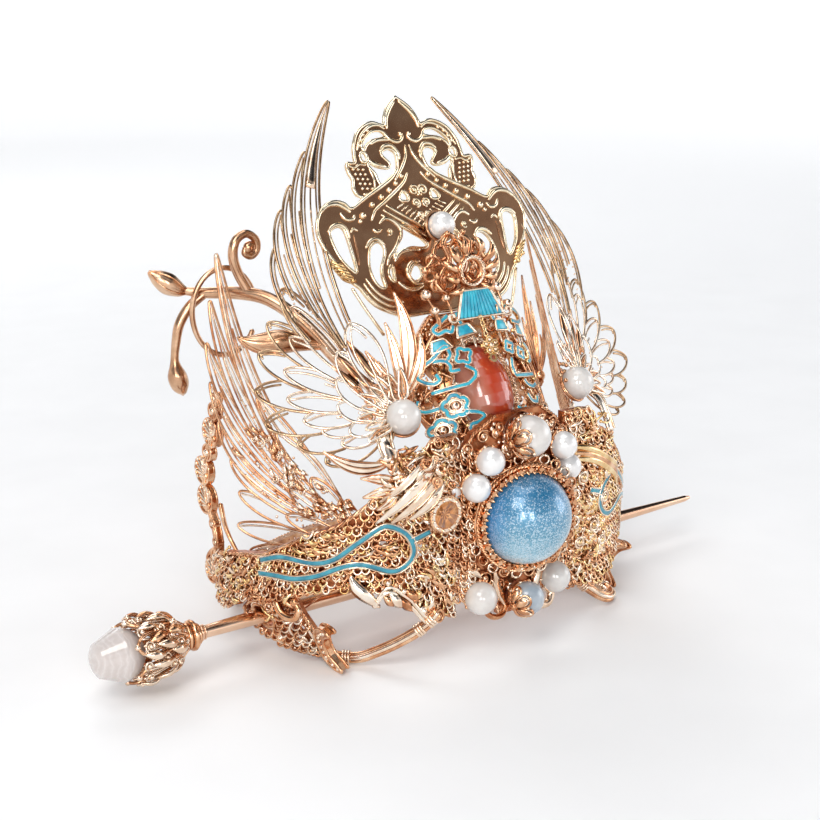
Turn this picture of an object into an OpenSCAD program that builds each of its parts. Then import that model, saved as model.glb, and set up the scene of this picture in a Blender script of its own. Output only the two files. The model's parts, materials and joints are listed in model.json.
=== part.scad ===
/* [Crown wall] */
// Outer radius of the curved wall that the front pieces are soldered to
wall_r = 45; // [44:0.5:46]
// Thickness of the wall's pierced sheet
wall_t = 1.4; // [1:0.1:1.8]
// Distance of the wall's centre behind the origin
wall_cy = 11.5; // [11:0.25:12]
// Outer radius of the rounded sides
side_r = 31.2; // [31:0.1:31.4]
// Height of the plain band that closes the back
band_h = 7.7; // [6:0.1:7.7]
// Gap left between neighbouring pieces
gap = 0.3; // [0.2:0.05:0.4]

/* [Wings and back plate] */
// Thickness of the wing plates
wing_t = 1; // [0.8:0.1:1.2]
// Width of the metal left between two feather gaps
wing_wire = 0.9; // [0.7:0.1:1.1]
// Thickness of the back plate
back_t = 1.2; // [1:0.1:1.6]
// Angle at which the back plate leans back
back_lean = 23.5; // [22:0.5:25]
// Angle at which the oval and its screen lean back
screen_lean = 29; // [27:1:31]

/* [Stones] */
// Radius of the round glass cabochon
blue_r = 10; // [9:0.25:10.5]
// Length of the oval cabochon
oval_l = 21; // [19:0.5:22]
// Width of the oval cabochon
oval_w = 14; // [13:0.5:15]
// Radius of the pearls
pearl_r = 3; // [2.6:0.1:3]
// Radius of the quartz beads at the wing roots
wing_bead_r = 3.65; // [3.2:0.05:3.8]

/* [Hairpin] */
// Radius of the hairpin's shaft at its thickest
pin_r = 2; // [1.8:0.05:2.1]
// Radius of the hole that the hairpin runs through in each tail
pin_hole_r = 2.3; // [2.25:0.05:2.4]
// Height of the hairpin's axis
pin_z = 9; // [8.6:0.1:9.2]
// Distance of the hairpin's axis in front of the origin
pin_front = 6; // [5.5:0.5:6.5]

/* [Hidden] */

smooth = 64;
wall_in = wall_r - wall_t;
rose = "#d9a07a";
pale_gold = "#f0d3a8";
yellow_gold = "#c9a262";
enamel = "#2fa3b5";

// Right side as drawn, left side as its mirror image
module left() { mirror([1, 0, 0]) children(); }

// A place on the right side's rounded wall: x along it, y up, z outwards; the angle runs from the front
side_at = [18.5, 0];
side_in = side_r - wall_t;
module from_side(angle) translate(side_at) rotate([0, 0, angle]) rotate([90, 0, 0]) children();
module on_side(angle, z = 0, out = 0) from_side(angle) translate([0, z, side_r + out]) children();

// The leaning frame that carries the oval: x right, y up along it, z outwards
module leaning() translate([0, -27.5, 57]) rotate([90 - screen_lean, 0, 0]) children();

// The back plate's own frame
module back_frame() translate([0, -5.4, 77]) rotate([90 - back_lean, 0, 0]) children();

upper_root = [23.8, -25.3, 53.2];
module upper_wing_frame(turn = 21) translate(upper_root) rotate([0, 0, turn]) rotate([55, 0, 0]) children();

lower_root = [30.7, -24.6, 25.6];
module lower_wing_frame() translate(lower_root) rotate([0, 0, 57]) rotate([78, 0, 0]) children();

module ring(r_out, r_in, h)
  difference() {
    cylinder(r = r_out, h = h, $fn = smooth);
    translate([0, 0, -1]) cylinder(r = r_in, h = h + 2, $fn = smooth);
  }

module side_sheet(r_out, r_in, top) translate(side_at) ring(r_out, r_in, top);

function oval_points(w, h, n = 20) = [for (i = [0:n - 1]) [w / 2 * cos(i * 360 / n), h / 2 * sin(i * 360 / n)]];

// Quadratic curve through a, pulled towards b, to c
function bend(a, b, c, t) = (1 - t) * (1 - t) * a + 2 * t * (1 - t) * b + t * t * c;
function bend_dir(a, b, c, t) = 2 * (1 - t) * (b - a) + 2 * t * (c - b);
function unit(v) = v / norm(v);
function across(v) = [-v[1], v[0]];

// Width of a feather along its length: narrow root, widest near the tip, round end
function feather_half(t, w, k) = w / 2 * pow(sin(180 * pow(t * 0.985 + 0.0075, k)), 0.55);

feather_steps = 10;
function feather_side(f, side) = [for (i = [0:feather_steps])
    let (t = i / feather_steps, d = unit(bend_dir(f[0], f[1], f[2], t)))
    bend(f[0], f[1], f[2], t) + side * feather_half(t, f[3], f[4]) * across(d)];
function reversed(list) = [for (i = [len(list) - 1:-1:0]) list[i]];
module feather(f) polygon(concat(feather_side(f, 1), reversed(feather_side(f, -1))));

// Feathers of a pierced wing, the front one first: each keeps a rim and loses its inside
module feathered(rows)
  difference() {
    union() for (f = rows) feather(f);
    for (i = [0:len(rows) - 1])
      offset(delta = 0.3) offset(delta = -0.3)
        difference() {
          offset(delta = -wing_wire) feather(rows[i]);
          for (j = [0:1:i - 1]) feather(rows[j]);
        }
  }

// Columns: root, bend and tip of the midline, width, and how far up the widest place lies
fan_feathers = [
  [[3, 3], [5, 12], [8.5, 20], 6.5, 1.5],
  [[4, 2], [9, 8], [12, 14.5], 5, 1.5],
  [[4, 1], [10, 4], [14, 8.5], 4.5, 1.5],
  [[4, 0], [11, 1], [15.5, 2.5], 4.5, 1.5],
  [[6, 6], [16, 18], [21, 29.4], 5.6, 1.4],
  [[6, 5], [17, 14], [24.6, 21.9], 5.6, 1.4],
  [[6, 4], [18, 10], [27.2, 15.5], 5.6, 1.4],
  [[6, 2], [18, 6], [28.6, 7.7], 5.4, 1.4],
  [[6, 1], [17, 1], [27.2, 0.6], 5.4, 1.4],
  [[5, -1], [13, -3], [21.6, -4.2], 5.4, 1.4],
  [[3, -2], [8, -5], [15.4, -8], 5, 1.4]
];
// The long feathers stand in a plane that is turned more to the front
long_turn = 10;
long_feathers = [
  [[2.5, 5], [18.5, 40], [-2, 73.4], 4.4, 0.9],
  [[2.5, 5], [18.8, 37], [6, 61.2], 4, 1],
  [[2.5, 5], [19.4, 34.6], [11.2, 53.4], 4, 1],
  [[2.5, 4], [21.6, 31], [14.6, 48], 4.2, 1],
  [[2.5, 4], [23, 27], [17, 40.5], 4.4, 1.1]
];
lower_feathers = [
  [[4, 4], [12, 12], [22, 22], 6.5, 1.5],
  [[4, 3.5], [12, 7], [22, 13], 6, 1.5],
  [[4, 3], [12, 3.5], [20.6, 6], 5, 1.5],
  [[3, 3], [30, 18], [40.4, 58], 4.6, 0.8],
  [[3, 3], [33, 18], [41.4, 48], 4.4, 0.9],
  [[4, 3], [34, 17], [41.4, 39], 4.4, 1],
  [[4, 3], [33, 14], [39.8, 31], 4.6, 1.1],
  [[4, 2], [31, 10], [37.2, 23], 4.8, 1.2],
  [[4, 2], [27, 8], [34, 15.5], 5, 1.3],
  [[4, 2], [22, 4], [31.6, 8.6], 5, 1.3]
];

// A pierced plate with what its root needs, as one sheet
module wing_plate(rows)
  translate([0, 0, -wing_t / 2]) linear_extrude(wing_t)
    offset(delta = 0.001) union() {
      feathered(rows);
      children();
    }

// The upper wing ends in a ring that seats its bead, and a strap down to the wall
module upper_wing() color(pale_gold)
  difference() {
    union() {
      upper_wing_frame() wing_plate(fan_feathers) {
        circle(r = wing_bead_r + 1.6, $fn = 24);
        polygon([[-3, -3], [3.6, -3.6], [3.8, -11], [0.8, -11]]);
      }
      upper_wing_frame(long_turn) wing_plate(long_feathers);
    }
    translate(upper_root) sphere(r = wing_bead_r + gap, $fn = smooth);
  }

// The lower wing stands inside the side wall and is pinned to it
lower_pad = [3.4, 2.6];
pad_r = 2.8;
lower_pin_l = 3.9;
module lower_wing() color(rose)
  lower_wing_frame() {
    wing_plate(lower_feathers) translate(lower_pad) circle(r = pad_r, $fn = 24);
    translate(lower_pad) cylinder(r = 1.2, h = wing_t / 2 + lower_pin_l - gap, $fn = smooth);
  }

// The side net. Columns: angle round the side, lower edge, upper edge
net_left = [[-7.6, 9, 49.4], [1, 11, 49.4], [5.6, 12, 49.4], [12.5, 14.2, 44.4], [18, 16, 43],
  [29, 18.6, 37.6], [40, 18.8, 33], [54, 17, 29.8], [72, 14, 24.4], [84, 12.6, 23], [96, 8.2, 21],
  [107, 8.2, 18]];
// The right net reaches lower in front
net_right = [[-7.6, 8.6, 49.4], [1, 8.4, 49.4], [5.6, 8, 49.4], [12.5, 7, 44.4], [18, 6, 43],
  [29, 9, 37.6], [40, 14, 33], [54, 17, 29.8], [72, 14, 24.4], [84, 12.6, 23], [96, 8.2, 21],
  [107, 8.2, 18]];
net_angle = 50;
net_start = 14.4;
net_pitch = [13.4, 6.6];
net_hole = [4.4, 5];
net_rim = 1.2;
hole_half = net_hole[0] / 2 / side_r * 180 / PI;
function chord(angle) = side_r * sin(angle - net_angle);
function net_low(rows, angle) = lookup(angle, [for (row = rows) [row[0], row[1]]]);
function net_top(rows, angle) = lookup(angle, [for (row = rows) [row[0], row[2]]]);
function net_clear(rows, a, z) =
  a - hole_half > rows[0][0] + 2 && a + hole_half < rows[len(rows) - 1][0] - 2
  && max([for (s = [-1, 0, 1]) net_low(rows, a + s * hole_half)]) < z - net_hole[1] / 2 - net_rim
  && min([for (s = [-1, 0, 1]) net_top(rows, a + s * hole_half)]) > z + net_hole[1] / 2 + net_rim;
function net_gaps(rows) = [for (i = [0:9], j = [0:6])
    let (a = -3 + (i + (j % 2) / 2) * net_pitch[0], z = 13.4 + j * net_pitch[1])
    if (net_clear(rows, a, z)) [a, z]];

// Scale-shaped gap: pointed at the bottom, two straight shoulders
module scale_gap(w, h) polygon([[0, -h / 2], [w / 2, 0], [w / 4, h / 2], [-w / 4, h / 2], [-w / 2, 0]]);

module net_sheet(rows, seats)
  difference() {
    intersection() {
      side_sheet(side_r, side_in, 60);
      from_side(net_angle) translate([0, 0, 8]) linear_extrude(40) difference() {
        polygon(concat([for (row = rows) [chord(row[0]), row[1]]],
            reversed([for (row = rows) [chord(row[0]), row[2]]])));
        for (c = net_gaps(rows)) translate([chord(c[0]), c[1]])
          scale_gap(net_hole[0] * cos(c[0] - net_angle), net_hole[1]);
      }
    }
    translate([net_start - 60, -60, -1]) cube([60, 70, 62]);
    for (b = seats) translate(b[1]) sphere(r = b[3], $fn = smooth);
  }
module side_net_right() color(rose) net_sheet(net_right, beads);
module side_net_left() color(rose)
  left() net_sheet(net_left, [for (b = beads) [b[0], [-b[1][0], b[1][1], b[1][2]], b[2], b[3]]]);

// Columns: height, half width
plate_edge = [[8, 4.6], [13, 6], [19, 13.4], [24, 14.1], [44, 14.1], [49, 11.5], [52.5, 6.5]];
module front_plate() color(rose)
  difference() {
    intersection() {
      translate([0, wall_cy, 0]) ring(wall_r, wall_in, 60);
      rotate([90, 0, 0]) translate([0, 0, 15]) linear_extrude(40)
        polygon(concat([for (row = plate_edge) [row[1], row[0]]],
            reversed([for (row = plate_edge) [-row[1], row[0]]])));
    }
    bead_seats();
  }

// Columns: name, centre, radius, radius of the seat cut for it in the wall
beads = [
  ["crown_bead", [0, -37, 47.8], 4.4, 5.7],
  ["pearl_right_upper", [9.9, -36.4, 44], pearl_r, pearl_r + gap],
  ["pearl_right_lower", [12.7, -34.9, 38.4], pearl_r, pearl_r + gap],
  ["pearl_left_upper", [-9.9, -36.4, 44], pearl_r, pearl_r + gap],
  ["pearl_left_lower", [-12.4, -35, 38.4], pearl_r, pearl_r + gap],
  ["pearl_left_side", [-15.2, -30.6, 37.4], 2.2, 2.2 + gap],
  ["base_bead_centre", [0, -37.4, 12], 3.6, 4.9],
  ["base_bead_right", [10.3, -34.4, 13.5], 3.5, 3.5 + gap],
  ["base_bead_left", [-10.3, -34.4, 13.5], 3.5, 3.5 + gap]
];
function bead_row(name) = beads[search([name], beads)[0]];
module bead_seats() for (b = beads) translate(b[1]) sphere(r = b[3], $fn = smooth);
module bead(name) let (b = bead_row(name)) translate(b[1]) sphere(r = b[2], $fn = smooth);

// A cup of petals round one end of a bead, its axis along z
module petal_cap(r, depth, petals)
  difference() {
    sphere(r = r + gap + 0.7, $fn = smooth);
    sphere(r = r + gap, $fn = smooth);
    translate([-15, -15, -30]) cube([30, 30, 30 + r - depth]);
    for (i = [0:petals - 1]) rotate([0, 0, i * 360 / petals])
      translate([r * 0.95, 0, r - depth]) rotate([0, 0, 45]) translate([-0.9, -0.9, -3]) cube([1.8, 1.8, 4.4]);
  }

// The tail hangs below the net on a cone that draws in towards the foot, seen square on
tail_angle = 70;
tail_outline = [[-6.3, 15.9], [-2.7, 14.5], [1.1, 13.2], [7.3, 11.7], [12.2, 7.4], [11.4, 6.6], [6.4, 3.6],
  [-1.6, 1.6], [-7.5, 1], [-9.4, 1.8], [-9.6, 4.6], [-8.2, 8], [-7, 12]];
tail_gaps = [[-3.2, 12.4], [-5, 8.2], [-3.6, 4.6], [8.4, 8.4]];
tail_hole = [2.6, 3];
// Columns: height, inner radius of the cone
tail_section = [[-1, 22.8], [17, 30.2]];
module tail() color(rose)
  difference() {
    intersection() {
      translate(side_at) rotate_extrude($fn = smooth)
        polygon(concat([for (row = tail_section) [row[1], row[0]]],
            reversed([for (row = tail_section) [row[1] + wall_t, row[0]]])));
      from_side(tail_angle) translate([0, 0, 8]) linear_extrude(40) difference() {
        polygon(tail_outline);
        for (c = tail_gaps) translate(c) scale_gap(tail_hole[0], tail_hole[1]);
      }
    }
    translate([0, -pin_front, pin_z]) rotate([0, 90, 0]) cylinder(r = pin_hole_r, h = 120, $fn = smooth);
  }

// The forked fin at the tail's end flares out and forwards: the hook above, the low lobe beneath
fin_at = [39.3, -16.6, 4.1];
fin_flare = 22;
fin_t = 1.6;
fin_outline = [[-1.8, -2.2], [-4, -3.5], [-6, -3.7], [-7.8, -3.1], [-6.6, -1.8], [-4.8, -0.4], [-4.2, 1],
  [-4.6, 3.2], [-6, 5.2], [-8.8, 6.9], [-6.4, 7.6], [-3.6, 6.6], [-1.8, 4.4], [-1.4, 2], [-1.6, 0]];
module tail_fin() color(rose)
  translate(fin_at) rotate([0, fin_flare, 0]) rotate([90, 0, 90]) translate([0, 0, -fin_t / 2])
    linear_extrude(fin_t) polygon(fin_outline);

// A round wire along points, one radius for each
wire_sides = 8;
function wire_ring(points, radii, i, up) =
  let (a = points[max(i - 1, 0)], b = points[min(i + 1, len(points) - 1)], d = unit(b - a),
      s = unit(cross(d, up)), n = cross(s, d))
  [for (k = [0:wire_sides - 1]) points[i] + radii[i] * (cos(k * 360 / wire_sides) * s + sin(k * 360 / wire_sides) * n)];
module wire(points, radii, up = [0, 0, 1])
  let (n = len(points), k = wire_sides)
  polyhedron(points = [for (i = [0:n - 1]) each wire_ring(points, radii, i, up)],
    faces = concat([[for (j = [0:k - 1]) k - 1 - j]], [[for (j = [0:k - 1]) (n - 1) * k + j]],
      [for (i = [0:n - 2], j = [0:k - 1]) [i * k + j, i * k + (j + 1) % k, (i + 1) * k + (j + 1) % k, (i + 1) * k + j]]),
    convexity = 6);

// The rim arcs bow from the tail's foot up to the front, the right one lower and further out
arc_left = [[36.4, -18.4, 1.4], [34.6, -20.4, 1.2], [32.8, -22.7, 2], [30.8, -25, 3.4], [28.6, -27.2, 5],
  [26.2, -29.2, 6.8], [24.2, -30.8, 8.5], [22.2, -32, 10.4], [20.6, -32.9, 12.4]];
arc_right = [[36.2, -19, 2.2], [35.6, -22.2, 1.7], [35.4, -25.2, 1.4], [34.2, -27.9, 1.3], [32.2, -29.4, 1.35],
  [30, -29.6, 2.2], [27.6, -28.6, 3.8], [25.2, -27.5, 6], [23.2, -27.2, 8.2]];
arc_radii = [1, 1.2, 1.2, 1.2, 1.2, 1.2, 1.15, 1.1, 1];
module rim_arc(points) color(rose) wire(points, arc_radii);

// The band: its ends are tucked inside the nets, and it drops to the floor behind
band_t = 1.8;
band_r = side_in - gap;
band_from = 97;
band_bend = 107;
bend_at = [side_at[0] + band_r * sin(band_bend), side_at[1] - band_r * cos(band_bend)];
back_depth = 30;
back_r = (bend_at[0] * bend_at[0] + back_depth * back_depth) / (2 * back_depth);
back_half = asin(bend_at[0] / back_r);
end_z = [8.4, 13.4];
// Columns: distance back, height; the band seen from the side
band_side = [[-6, end_z[0]], [12, end_z[0]], [24, 0], [50, 0], [50, band_h], [28, band_h], [16, end_z[1]],
  [-6, end_z[1]]];
module band_arc(r, angle)
  rotate_extrude(angle = angle, $fn = 96) translate([r - band_t, 0]) square([band_t, end_z[1] + 1]);
module back_band() color(rose)
  intersection() {
    union() {
      for (s = [0, 1]) mirror([s, 0, 0]) {
        translate(side_at) rotate([0, 0, band_from - 90]) band_arc(band_r, band_bend - band_from);
        translate([bend_at[0] - band_t / 2 - 0.3, bend_at[1], 0]) cylinder(r = 1.1, h = end_z[1] + 1, $fn = smooth);
      }
      translate([0, bend_at[1] + back_depth - back_r, 0]) rotate([0, 0, 90 - back_half])
        band_arc(back_r, 2 * back_half);
    }
    translate([-60, 0, 0]) rotate([90, 0, 90]) linear_extrude(120) polygon(band_side);
  }

// The lobed plume stands on the band behind the net. Columns: distance back, height, lobe radius
plume_x = 44.2;
plume_t = 1.2;
plume_rows = [[19.4, 10.6, 3], [17.6, 14.4, 2], [17.2, 18, 1.2], [18.4, 22, 1.3], [21.4, 27, 3.4],
  [22.2, 33.6, 3.3], [19.6, 38.4, 2], [17.8, 43.4, 3.4], [16.2, 48.6, 2], [15.4, 51.6, 1.3]];
plume_foot = [3.4, 3, 1.5];
module plume() color(rose) {
  translate([plume_x, 0, 0]) rotate([90, 0, 90]) translate([0, 0, -plume_t / 2]) linear_extrude(plume_t)
    offset(delta = 0.001) union() {
      for (row = plume_rows) translate([row[0], row[1]]) circle(r = row[2], $fn = 20);
      for (i = [0:len(plume_rows) - 2]) hull() for (k = [0, 1])
        translate([plume_rows[i + k][0], plume_rows[i + k][1]]) circle(r = 1, $fn = 16);
    }
  translate([plume_x + plume_t / 2 - plume_foot[0], 14.4, end_z[1] + gap]) cube(plume_foot);
}

// The round cabochon in its cup, turned a little to the left
blue_at = [-0.2, -36.4, 30];
blue_turn = -12;
blue_dome_h = 8.4;
dome_r = (blue_r * blue_r + blue_dome_h * blue_dome_h) / (2 * blue_dome_h);
module at_blue() translate(blue_at) rotate([0, 0, blue_turn]) rotate([90, 0, 0]) children();
module blue_bezel() color(rose)
  at_blue() difference() {
    union() {
      translate([0, 0, -1.1]) cylinder(r = blue_r + 1, h = 2.5, $fn = smooth);
      translate([0, 0, -1.9]) cylinder(r = 3, h = 1, $fn = smooth);
      for (i = [0:27]) rotate([0, 0, i * 360 / 28]) translate([blue_r + 0.95, 0, 0.8])
        rotate([0, 0, 45]) translate([-0.45, -0.45, 0]) cube([0.9, 0.9, 1.2]);
    }
    translate([0, 0, -0.2]) cylinder(r = blue_r + 0.1, h = 5, $fn = smooth);
  }
module blue_cabochon() color("#6aa9d6")
  at_blue() intersection() {
    translate([0, 0, -0.1]) cylinder(r = blue_r, h = blue_dome_h + 1, $fn = smooth);
    union() {
      translate([0, 0, blue_dome_h + 0.9 - dome_r]) sphere(r = dome_r, $fn = 96);
      translate([0, 0, -0.1]) cylinder(r = blue_r, h = 1, $fn = smooth);
    }
  }

// The sheet behind the oval, which carries the screen and the wings
frame_back = -10.4;
frame_t = 1.6;
frame_edge = [[-10.5, 9], [-6, 14], [0, 16.6], [6, 16.6], [12, 14], [16, 10], [19.2, 6.4]];
module centre_frame() color(rose)
  leaning() {
    translate([0, 0, frame_back]) linear_extrude(frame_t) difference() {
      polygon(concat([for (row = frame_edge) [row[1], row[0]]],
          reversed([for (row = frame_edge) [-row[1], row[0]]])));
      for (s = [-1, 1], c = [[11.4, -2], [11.4, 5.4]]) translate([s * c[0], c[1]])
        polygon([[-2, 0], [0, -2.8], [2, 0], [0, 2.8]]);
    }
  }

oval_front = frame_back + frame_t + gap;
module oval_ring(w, h) polygon(oval_points(w, h, 40));
module oval_setting() color(pale_gold)
  leaning() translate([0, 0.6, oval_front]) {
    linear_extrude(0.8) oval_ring(oval_w + 2, oval_l + 2);
    linear_extrude(2.6) difference() {
      oval_ring(oval_w + 2, oval_l + 2);
      oval_ring(oval_w + 0.4, oval_l + 0.4);
    }
  }
oval_dome = 7.2;
module oval_cabochon() color("#e0683a")
  leaning() translate([0, 0.6, oval_front + 1]) intersection() {
    translate([0, 0, -0.2]) rotate([-90, 0, 0]) translate([0, 0, -oval_l / 2]) rotate_extrude($fn = smooth)
      polygon(concat([for (i = [0:16]) let (a = i * 180 / 16) [oval_w / 2 * sin(a), oval_l / 2 * (1 - cos(a))]]));
    translate([-oval_w, -oval_l, 0]) cube([2 * oval_w, 2 * oval_l, oval_dome]);
  }

// The screen stands before the oval on a curved sheet, open in the middle
screen_r = 22;
screen_t = 1.1;
screen_edge = [[-8.6, 12], [-6, 15], [-2, 16.8], [3, 16.8], [8, 15.4], [11.6, 12.6], [14.2, 10.4]];
screen_window = [[-6.8, 3.2], [-4, 5], [2, 5.6], [6.6, 4.6], [9.4, 3]];
// Columns: place and size of a gap on the right half
screen_gaps = [[8.4, 12.6, 3, 2], [10.6, 8.6, 3.2, 3], [8.2, 3.6, 2.4, 3.6], [13, 4, 3.2, 3.4],
  [9.6, -1.4, 3, 3], [11, -5.4, 3, 2.4]];
module screen_lattice()
  difference() {
    polygon(concat([for (row = screen_edge) [row[1], row[0]]],
        reversed([for (row = screen_edge) [-row[1], row[0]]])));
    polygon(concat([for (row = screen_window) [row[1], row[0]]],
        reversed([for (row = screen_window) [-row[1], row[0]]])));
    for (s = [-1, 1], g = screen_gaps) translate([s * g[0], g[1]])
      polygon([[-g[2] / 2, 0], [0, -g[3] / 2], [g[2] / 2, 0], [0, g[3] / 2]]);
  }
module pavilion_screen() color(enamel)
  leaning() intersection() {
    translate([0, 20, -screen_r]) rotate([90, 0, 0]) ring(screen_r, screen_r - screen_t, 40);
    translate([0, 0, -9.8 + frame_t]) linear_extrude(20) screen_lattice();
  }

// The grooved roof above the screen, between small eaves
roof_lean = 20;
module roof_tiles() color(enamel)
  translate([0, -19.2, 73.4]) rotate([90 - roof_lean, 0, 0]) {
    translate([0, 0, -0.9]) linear_extrude(0.7) polygon([[-6.2, -3.5], [6.2, -3.5], [3.9, 2.6], [-3.9, 2.6]]);
    for (i = [-5:5]) hull() {
      translate([i * 1.02 - 0.25, -3.2, -0.3]) cube([0.5, 0.4, 0.7]);
      translate([i * 0.68 - 0.25, 2, -0.3]) cube([0.5, 0.4, 0.5]);
    }
  }

module charm_flower() color(yellow_gold)
  leaning() translate([-0.5, 8.3, gap]) {
    linear_extrude(0.8) offset(delta = 0.001) union() for (i = [0:4]) rotate(18 + 72 * i)
      translate([1.25, 0]) circle(r = 0.85, $fn = 16);
    sphere(r = 0.9, $fn = 24);
    translate([0, -2.6, 0]) linear_extrude(0.5) difference() {
      circle(r = 1, $fn = 24);
      circle(r = 0.5, $fn = 24);
    }
    translate([-0.25, -2, 0]) cube([0.5, 1.2, 0.5]);
  }

// The ring that stands behind the roof's top edge
module crest_ring() color(yellow_gold)
  translate([0, -16.6, 79.5]) rotate([90, 0, 0]) rotate_extrude($fn = smooth) translate([3, 0])
    circle(r = 0.8, $fn = 24);

// Columns: distance to the side, height; one half of the back plate's outline
back_edge = [[0, -8.2], [6, -8], [10, -6], [15.5, -3], [19, -6.2], [22.4, -5.6], [23.8, -2], [24.4, 5.6],
  [25, 8.8], [24.8, 12.4], [23.8, 16], [21.4, 18.6], [18.4, 18.4], [17.4, 22], [15.6, 25.6], [13.4, 26.6],
  [14, 30], [11.6, 33.8], [8, 35.2], [5, 33.8], [3, 31.2], [3.6, 34], [2.2, 37], [0, 40]];
// Columns: place, width, height, turn of a gap on the right half
back_gaps = [[8.2, 30, 5.4, 4.4, 20], [10.2, 22, 3.6, 7, 40], [13, 9, 7, 9, 10], [21.6, 9.6, 4, 9, -8],
  [18.4, 0, 4, 6.4, -20], [6.2, -2.4, 5, 5, 30], [5.2, 16.4, 4, 6, -40]];
module back_plate() color(yellow_gold)
  back_frame() translate([0, 0, -back_t / 2]) linear_extrude(back_t) difference() {
    polygon(concat(back_edge, reversed([for (p = back_edge) [-p[0], p[1]]])));
    for (s = [0, 1]) mirror([s, 0]) for (g = back_gaps)
      translate([g[0], g[1]]) rotate(g[4]) polygon(oval_points(g[2], g[3], 12));
  }

// The pearl before the back plate, in a cup on a stem
top_pearl_at = [0, -6.6, 88];
stem_l = 1.6;
module at_top_pearl() translate(top_pearl_at) rotate([90 - back_lean, 0, 0]) children();
module top_pearl() color("white") translate(top_pearl_at) sphere(r = pearl_r, $fn = smooth);
module top_pearl_cup() color(rose)
  at_top_pearl() difference() {
    union() {
      translate([0, 0, -pearl_r - 0.9]) cylinder(r1 = 2, r2 = pearl_r + 0.7, h = 3.1, $fn = smooth);
      translate([0, 0, -pearl_r - stem_l]) cylinder(r = 0.8, h = stem_l, $fn = 24);
    }
    sphere(r = pearl_r + gap, $fn = smooth);
  }

module wing_bead() color("#f3e4de") translate(upper_root) sphere(r = wing_bead_r, $fn = smooth);

module crown_bead_cap() color(rose)
  let (b = bead_row("crown_bead")) translate(b[1]) rotate([0, -103, -8]) petal_cap(b[2], 2.4, 6);
module base_bead_cap() color(rose)
  let (b = bead_row("base_bead_centre")) translate(b[1]) rotate([0, -105, 0]) petal_cap(b[2], 2.2, 6);

// The faceted stone on the left and its cup
amber_at = [1.4, 33.8];
amber_r = 2.7;
module amber_cup() color(pale_gold)
  left() on_side(amber_at[0], amber_at[1], gap) {
    difference() {
      cylinder(r1 = 2.4, r2 = amber_r + 0.9, h = 2.6, $fn = smooth);
      translate([0, 0, 0.8]) cylinder(r1 = 1.8, r2 = amber_r + 0.3, h = 1.9, $fn = smooth);
    }
  }
module amber_stone() color("#dca766")
  left() on_side(amber_at[0], amber_at[1], gap) {
    translate([0, 0, 1.05]) cylinder(r1 = 1.5, r2 = amber_r, h = 1.5, $fn = 12);
    translate([0, 0, 2.55]) cylinder(r1 = amber_r, r2 = 1.6, h = 0.9, $fn = 12);
  }

// The enamelled wire: a loop with two long ends, and a stem. Columns: distance along the chord, height
loop_line = [[11.4, 23.6], [6.4, 25.3], [0.3, 24.8], [-4.1, 25.8], [-8.4, 29.1], [-12.7, 32.3],
  [-14.8, 32.6], [-17.5, 30.6], [-18.7, 27.5], [-18.3, 25.1], [-16.7, 23.4], [-14.5, 23.1], [-9.8, 24.8],
  [-5.5, 24.2], [-1, 22.2], [3.8, 21], [8.2, 21], [11.9, 20.6]];
loop_stem = [[-18.5, 29.1], [-21.4, 30.4]];
loop_w = 1.2;
loop_t = 0.8;
module loop_stroke(points) for (i = [0:len(points) - 2]) hull() for (k = [0, 1])
  translate(points[i + k]) circle(r = loop_w / 2, $fn = 12);
module enamel_loop() color(enamel)
  intersection() {
    side_sheet(side_r + gap + loop_t, side_r + gap, 60);
    from_side(net_angle) translate([0, 0, 8]) linear_extrude(40) offset(delta = 0.001) union() {
      loop_stroke(loop_line);
      loop_stroke(loop_stem);
    }
  }

// Long pointed leaves. Columns: root, bend, tip, width, place of the widest part
module leaf_plate(rows, t)
  linear_extrude(t) offset(delta = 0.001) union() for (f = rows) feather(f);
tall_leaves = [[[0, 0], [1.4, 11], [4.4, 21], 3, 0.8], [[0, 0], [4, 7], [8.6, 13.6], 2.6, 0.8],
  [[0, 0], [-1.2, 6], [-0.6, 13], 2.4, 0.8]];
module leaf_spray() color(yellow_gold)
  translate([18.4, -17.6, 54]) rotate([0, 0, 30]) rotate([78, 0, 0]) {
    leaf_plate(tall_leaves, 0.9);
    sphere(r = 1.2, $fn = 24);
  }

low_leaves = [[[0, 0], [6, 8], [14.6, 8.6], 2.6, 0.8], [[0, 0], [5, 3.4], [10.4, 5.4], 2.2, 0.8],
  [[0, 0], [5, 0], [10, -0.6], 2.2, 0.8], [[0, 0], [2, -6], [7.4, -11.4], 3, 0.9],
  [[0, 0], [-1, -5.4], [2, -11], 2.6, 0.9], [[0, 0], [-4, 2], [-7, 5.4], 2.4, 0.8]];
spray_boss = 1.1;
module lower_spray() color(pale_gold)
  on_side(18.2, 41.6, gap + spray_boss) {
    leaf_plate(low_leaves, 0.9);
    translate([0, 0, -spray_boss]) cylinder(r = 1.4, h = spray_boss + 1.4, $fn = smooth);
  }

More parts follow.
